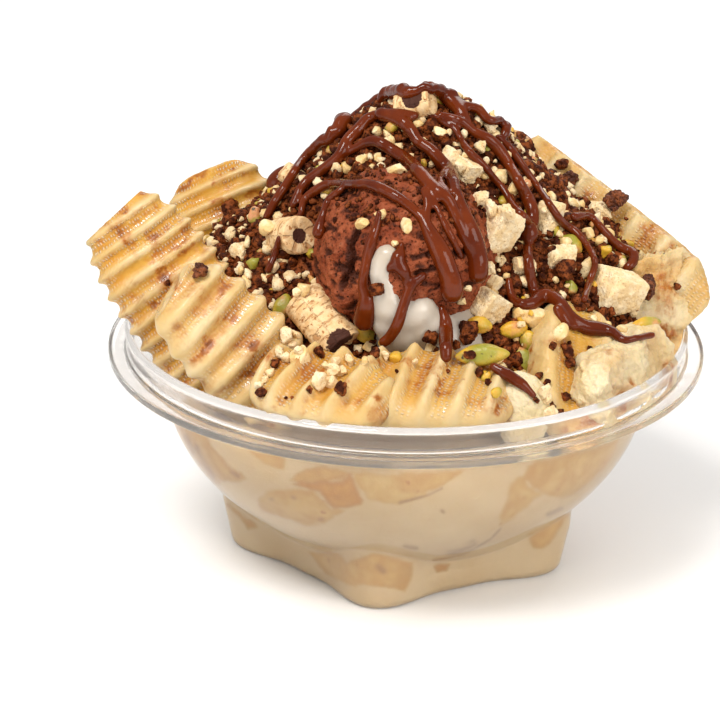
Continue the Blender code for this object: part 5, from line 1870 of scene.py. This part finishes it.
# %% [markdown]
# ## Chocolate sauce
# The sauce was poured in swings, so it lies in ropes that cross, join and end in fat drops. Each rope is a smooth
# curve through the pixels where it shows, laid on whatever is under it, and it bridges the small gaps as thick
# sauce does. Round the back, a rule with a fixed seed lets ropes run down the heap. A voxel remesh joins them all
# into one skin, which is then smoothed like a liquid.

# %% The ropes that show
# The pixels of each, then its widths in pixels at the start, the middle and the end
SAUCE_ROPES = (
    (((339, 114), (344, 119), (331, 127), (324, 139), (311, 151), (298, 166), (286, 185), (274, 203), (267, 216)),
     (19, 10, 8)),
    (((322, 131), (320, 136), (327, 140)), (13, 14, 9)),
    (((414, 116), (398, 113), (382, 114), (369, 118), (359, 129), (347, 142), (339, 156), (322, 170), (308, 180),
      (300, 190), (293, 205)), (9, 12, 8)),
    (((382, 114), (398, 119), (410, 129), (418, 141), (431, 150), (441, 162), (451, 174), (455, 191), (463, 211),
      (471, 235), (477, 258), (478, 273)), (13, 13, 23)),
    (((349, 152), (361, 145), (375, 141), (392, 150), (410, 162), (422, 176), (433, 188), (447, 199), (455, 215),
      (463, 233), (470, 252)), (8, 14, 10)),
    (((301, 215), (304, 201), (312, 193), (329, 184), (349, 184), (371, 185), (388, 192), (406, 203), (421, 217),
      (431, 235), (442, 256), (450, 278), (452, 291)), (8, 11, 24)),
    (((424, 190), (427, 203), (427, 222), (431, 236)), (8, 9, 9)),
    (((431, 192), (436, 205), (444, 223), (455, 244), (461, 257)), (7, 7, 7)),
    (((341, 190), (329, 200), (323, 216), (319, 232)), (7, 9, 14)),
    (((379, 213), (377, 225), (371, 243), (366, 263), (363, 284), (367, 301), (364, 320)), (7, 11, 20)),
    (((402, 244), (400, 253), (398, 262), (404, 273), (407, 284)), (6, 14, 9)),
    (((398, 262), (391, 267), (389, 270)), (12, 9, 6)),
    (((423, 276), (411, 286), (404, 304), (398, 323), (390, 337), (384, 342)), (8, 12, 10)),
    (((442, 309), (445, 320), (446, 332), (446, 345), (446, 357)), (9, 13, 12)),
    (((381, 101), (384, 95), (392, 88), (403, 86), (412, 92)), (10, 15, 12)),
    (((417, 92), (421, 88), (433, 86), (443, 94), (455, 105), (463, 115), (467, 122), (474, 131)), (9, 13, 9)),
    (((446, 96), (450, 91), (455, 97)), (11, 14, 10)),
    (((455, 98), (464, 105), (478, 109), (487, 119), (496, 121), (503, 118), (507, 124), (505, 134)), (9, 9, 11)),
    (((431, 115), (443, 122), (455, 129), (462, 141), (471, 154), (484, 166), (494, 178), (504, 190), (514, 207),
      (524, 217), (530, 224)), (7, 8, 8)),
    (((441, 116), (459, 120), (473, 131), (488, 139), (500, 151), (512, 170), (522, 188), (531, 206), (533, 221),
      (529, 236), (528, 256), (530, 274), (534, 293)), (9, 12, 10)),
    (((528, 226), (529, 234), (529, 243)), (14, 18, 12)),
    (((498, 137), (510, 148), (524, 168), (540, 190), (554, 211), (563, 223), (577, 233), (590, 250), (595, 264),
      (590, 280), (584, 300)), (7, 8, 7)),
    (((574, 217), (590, 217), (604, 231), (613, 241), (622, 248), (633, 253), (633, 262), (627, 268)), (9, 9, 10)),
    (((509, 281), (511, 294), (518, 303), (531, 304), (545, 295), (559, 302), (571, 318), (585, 327), (600, 329),
      (612, 332), (624, 340), (636, 338), (652, 335)), (9, 14, 7)),
    (((558, 309), (566, 322), (575, 327)), (10, 12, 9)),
    (((494, 367), (509, 376), (523, 385), (533, 395)), (9, 12, 8)),
    (((279, 238), (275, 254), (268, 270)), (6, 8, 8)),
    (((445, 168), (440, 180), (447, 192)), (6, 7, 7)),
)
print(len(SAUCE_ROPES), "ropes of sauce show")

# %% Lines and widths
ROPE_STEP = 2.2


def smooth_line(points, step):
    """Points along a smooth curve through the given ones, about one step apart."""
    points = [np.array(point, float) for point in points]
    padded = [2 * points[0] - points[1]] + points + [2 * points[-1] - points[-2]]
    line = []
    for before, start, end, after in zip(padded, padded[1:], padded[2:], padded[3:]):
        count = max(int(np.linalg.norm(end - start) / step), 2)
        for i in range(count):
            t = i / count
            line.append(0.5 * (2 * start + (end - before) * t + (2 * before - 5 * start + 4 * end - after) * t**2
                               + (3 * start - before - 3 * end + after) * t**3))
    return np.array(line + [points[-1]])


def blurred(values, reach):
    """A running mean over this many neighbours on each side."""
    kernel = np.ones(2 * reach + 1) / (2 * reach + 1)
    return np.convolve(np.pad(values, reach, "edge"), kernel, "valid")


def lowest_nearby(values, reach):
    padded = np.pad(values, reach, "edge")
    return np.array([padded[i:i + 2 * reach + 1].min() for i in range(len(values))])


def rope_widths(count, widths):
    share = np.linspace(0, 1, count)
    start, middle, end = widths
    return np.where(share < 0.5, start + (middle - start) * smooth_step(share, 0, 0.35),
                    middle + (end - middle) * smooth_step(share, 0.62, 0.97))


print("the first rope has", len(smooth_line(SAUCE_ROPES[0][0], ROPE_STEP)), "points")

# %% A tube
ROPE_SIDES = 12
CAP_ANGLES = (0.45, 0.9, 1.3)


def tube(middles, radii, bump):
    """A closed tube with round ends along a line of points."""
    spans = np.gradient(middles, axis=0)
    spans /= np.maximum(np.linalg.norm(spans, axis=1), 1e-9)[:, None]
    rings, side = [], None
    for i, (middle, span) in enumerate(zip(middles, spans)):
        side = np.cross(span, (0, 0, 1)) if side is None else side - span * (side @ span)
        if np.linalg.norm(side) < 1e-6:
            side = np.cross(span, (0, 1, 0))
        side = side / np.linalg.norm(side)
        other = np.cross(span, side)
        angles = np.arange(ROPE_SIDES) * tau / ROPE_SIDES
        radius = radii[i] * bump[i]
        rings.append(middle + radius * (np.cos(angles)[:, None] * side + np.sin(angles)[:, None] * other))
    ends = []
    for which, way in ((0, -1), (-1, 1)):
        middle, reach = middles[which], way * spans[which] * radii[which] * bump[which]
        ends.append([middle + (rings[which] - middle) * cos(a) + reach * sin(a) for a in CAP_ANGLES])
    rings = ends[0][::-1] + rings + ends[1]
    count, points, faces = ROPE_SIDES, np.concatenate(rings), []
    for r in range(len(rings) - 1):
        for i in range(count):
            j = (i + 1) % count
            faces.append((r * count + i, r * count + j, (r + 1) * count + j, (r + 1) * count + i))
    faces.append(tuple(range(count))[::-1])
    faces.append(tuple(range((len(rings) - 1) * count, len(rings) * count)))
    return points, faces


print("a rope is a tube with", ROPE_SIDES, "sides")

# %% Ropes on the food
REAR_ROPES = 9
REAR_POINTS = 60
REAR_SEED_START = 50
ROPE_SWELL = 1.06
ROPE_SUNK = 0.4
ROPE_BUMP = 0.10


def seen_rope(pixels, widths, seed):
    """A rope laid where its sight lines meet the food."""
    line = smooth_line(pixels, ROPE_STEP)
    places = np.array([met(*pixel, under_sauce)[0] for pixel in line])
    rays = places - EYE_POINT
    depths = np.linalg.norm(rays, axis=1)
    rays /= depths[:, None]
    depths = blurred(lowest_nearby(depths, 2), 3)
    radii = ROPE_SWELL * rope_widths(len(line), widths) / 2 / VIEW_FOCAL * depths
    middles = EYE_POINT + rays * (depths - radii * ROPE_SUNK)[:, None]
    draw = np.random.default_rng(seed)
    bump = 1 + ROPE_BUMP * np.sin(np.linspace(0, len(line) / 5, len(line)) + draw.uniform(0, tau))
    return tube(middles, radii, bump)


def rear_rope(number):
    """A rope that runs down the back of the heap, wandering a little."""
    draw = np.random.default_rng(REAR_SEED_START + number)
    start = radians(48 + 100 * number / (REAR_ROPES - 1)) + draw.uniform(-0.1, 0.1)
    swing, length = draw.uniform(-0.5, 0.5), draw.uniform(0.55, 0.86)
    shares = np.linspace(0.06, length, REAR_POINTS)
    angles = start + swing * shares + 0.14 * np.sin(shares * 9 + draw.uniform(0, tau))
    middles, radius = [], draw.uniform(0.0015, 0.0021)
    for share, angle in zip(shares, angles):
        above = Vector(heap_height(np.array([share]), np.array([angle]))[0] + np.array((0, 0, 0.03)))
        place, normal, _, _ = under_sauce.ray_cast(above, Vector((0, 0, -1)))
        middles.append(np.array(place) + np.array(normal) * radius * 0.3)
    middles = np.stack([blurred(np.array(middles)[:, axis], 3) for axis in range(3)], 1)
    radii = radius * (1 + 0.7 * smooth_step(np.linspace(0, 1, REAR_POINTS), 0.86, 0.97))
    return tube(middles, radii, 1 + ROPE_BUMP * np.sin(np.linspace(0, 14, REAR_POINTS)))


print(REAR_ROPES, "ropes run down the back")

# %% Build the sauce
SAUCE_VOXEL = 0.00050
SAUCE_SOFTENING = 7

under_sauce = surface([heap, scoop, cream, tip, filling] + slabs + toppings + bits + strewn)
ropes = [seen_rope(*rope, seed) for seed, rope in enumerate(SAUCE_ROPES)]
ropes += [rear_rope(number) for number in range(REAR_ROPES)]
sauce = fused("chocolate_sauce", ropes, SAUCE_VOXEL, SAUCE_SOFTENING)
sauce.data.materials.append(sauce_paint)
finish(sauce, "crumbs")
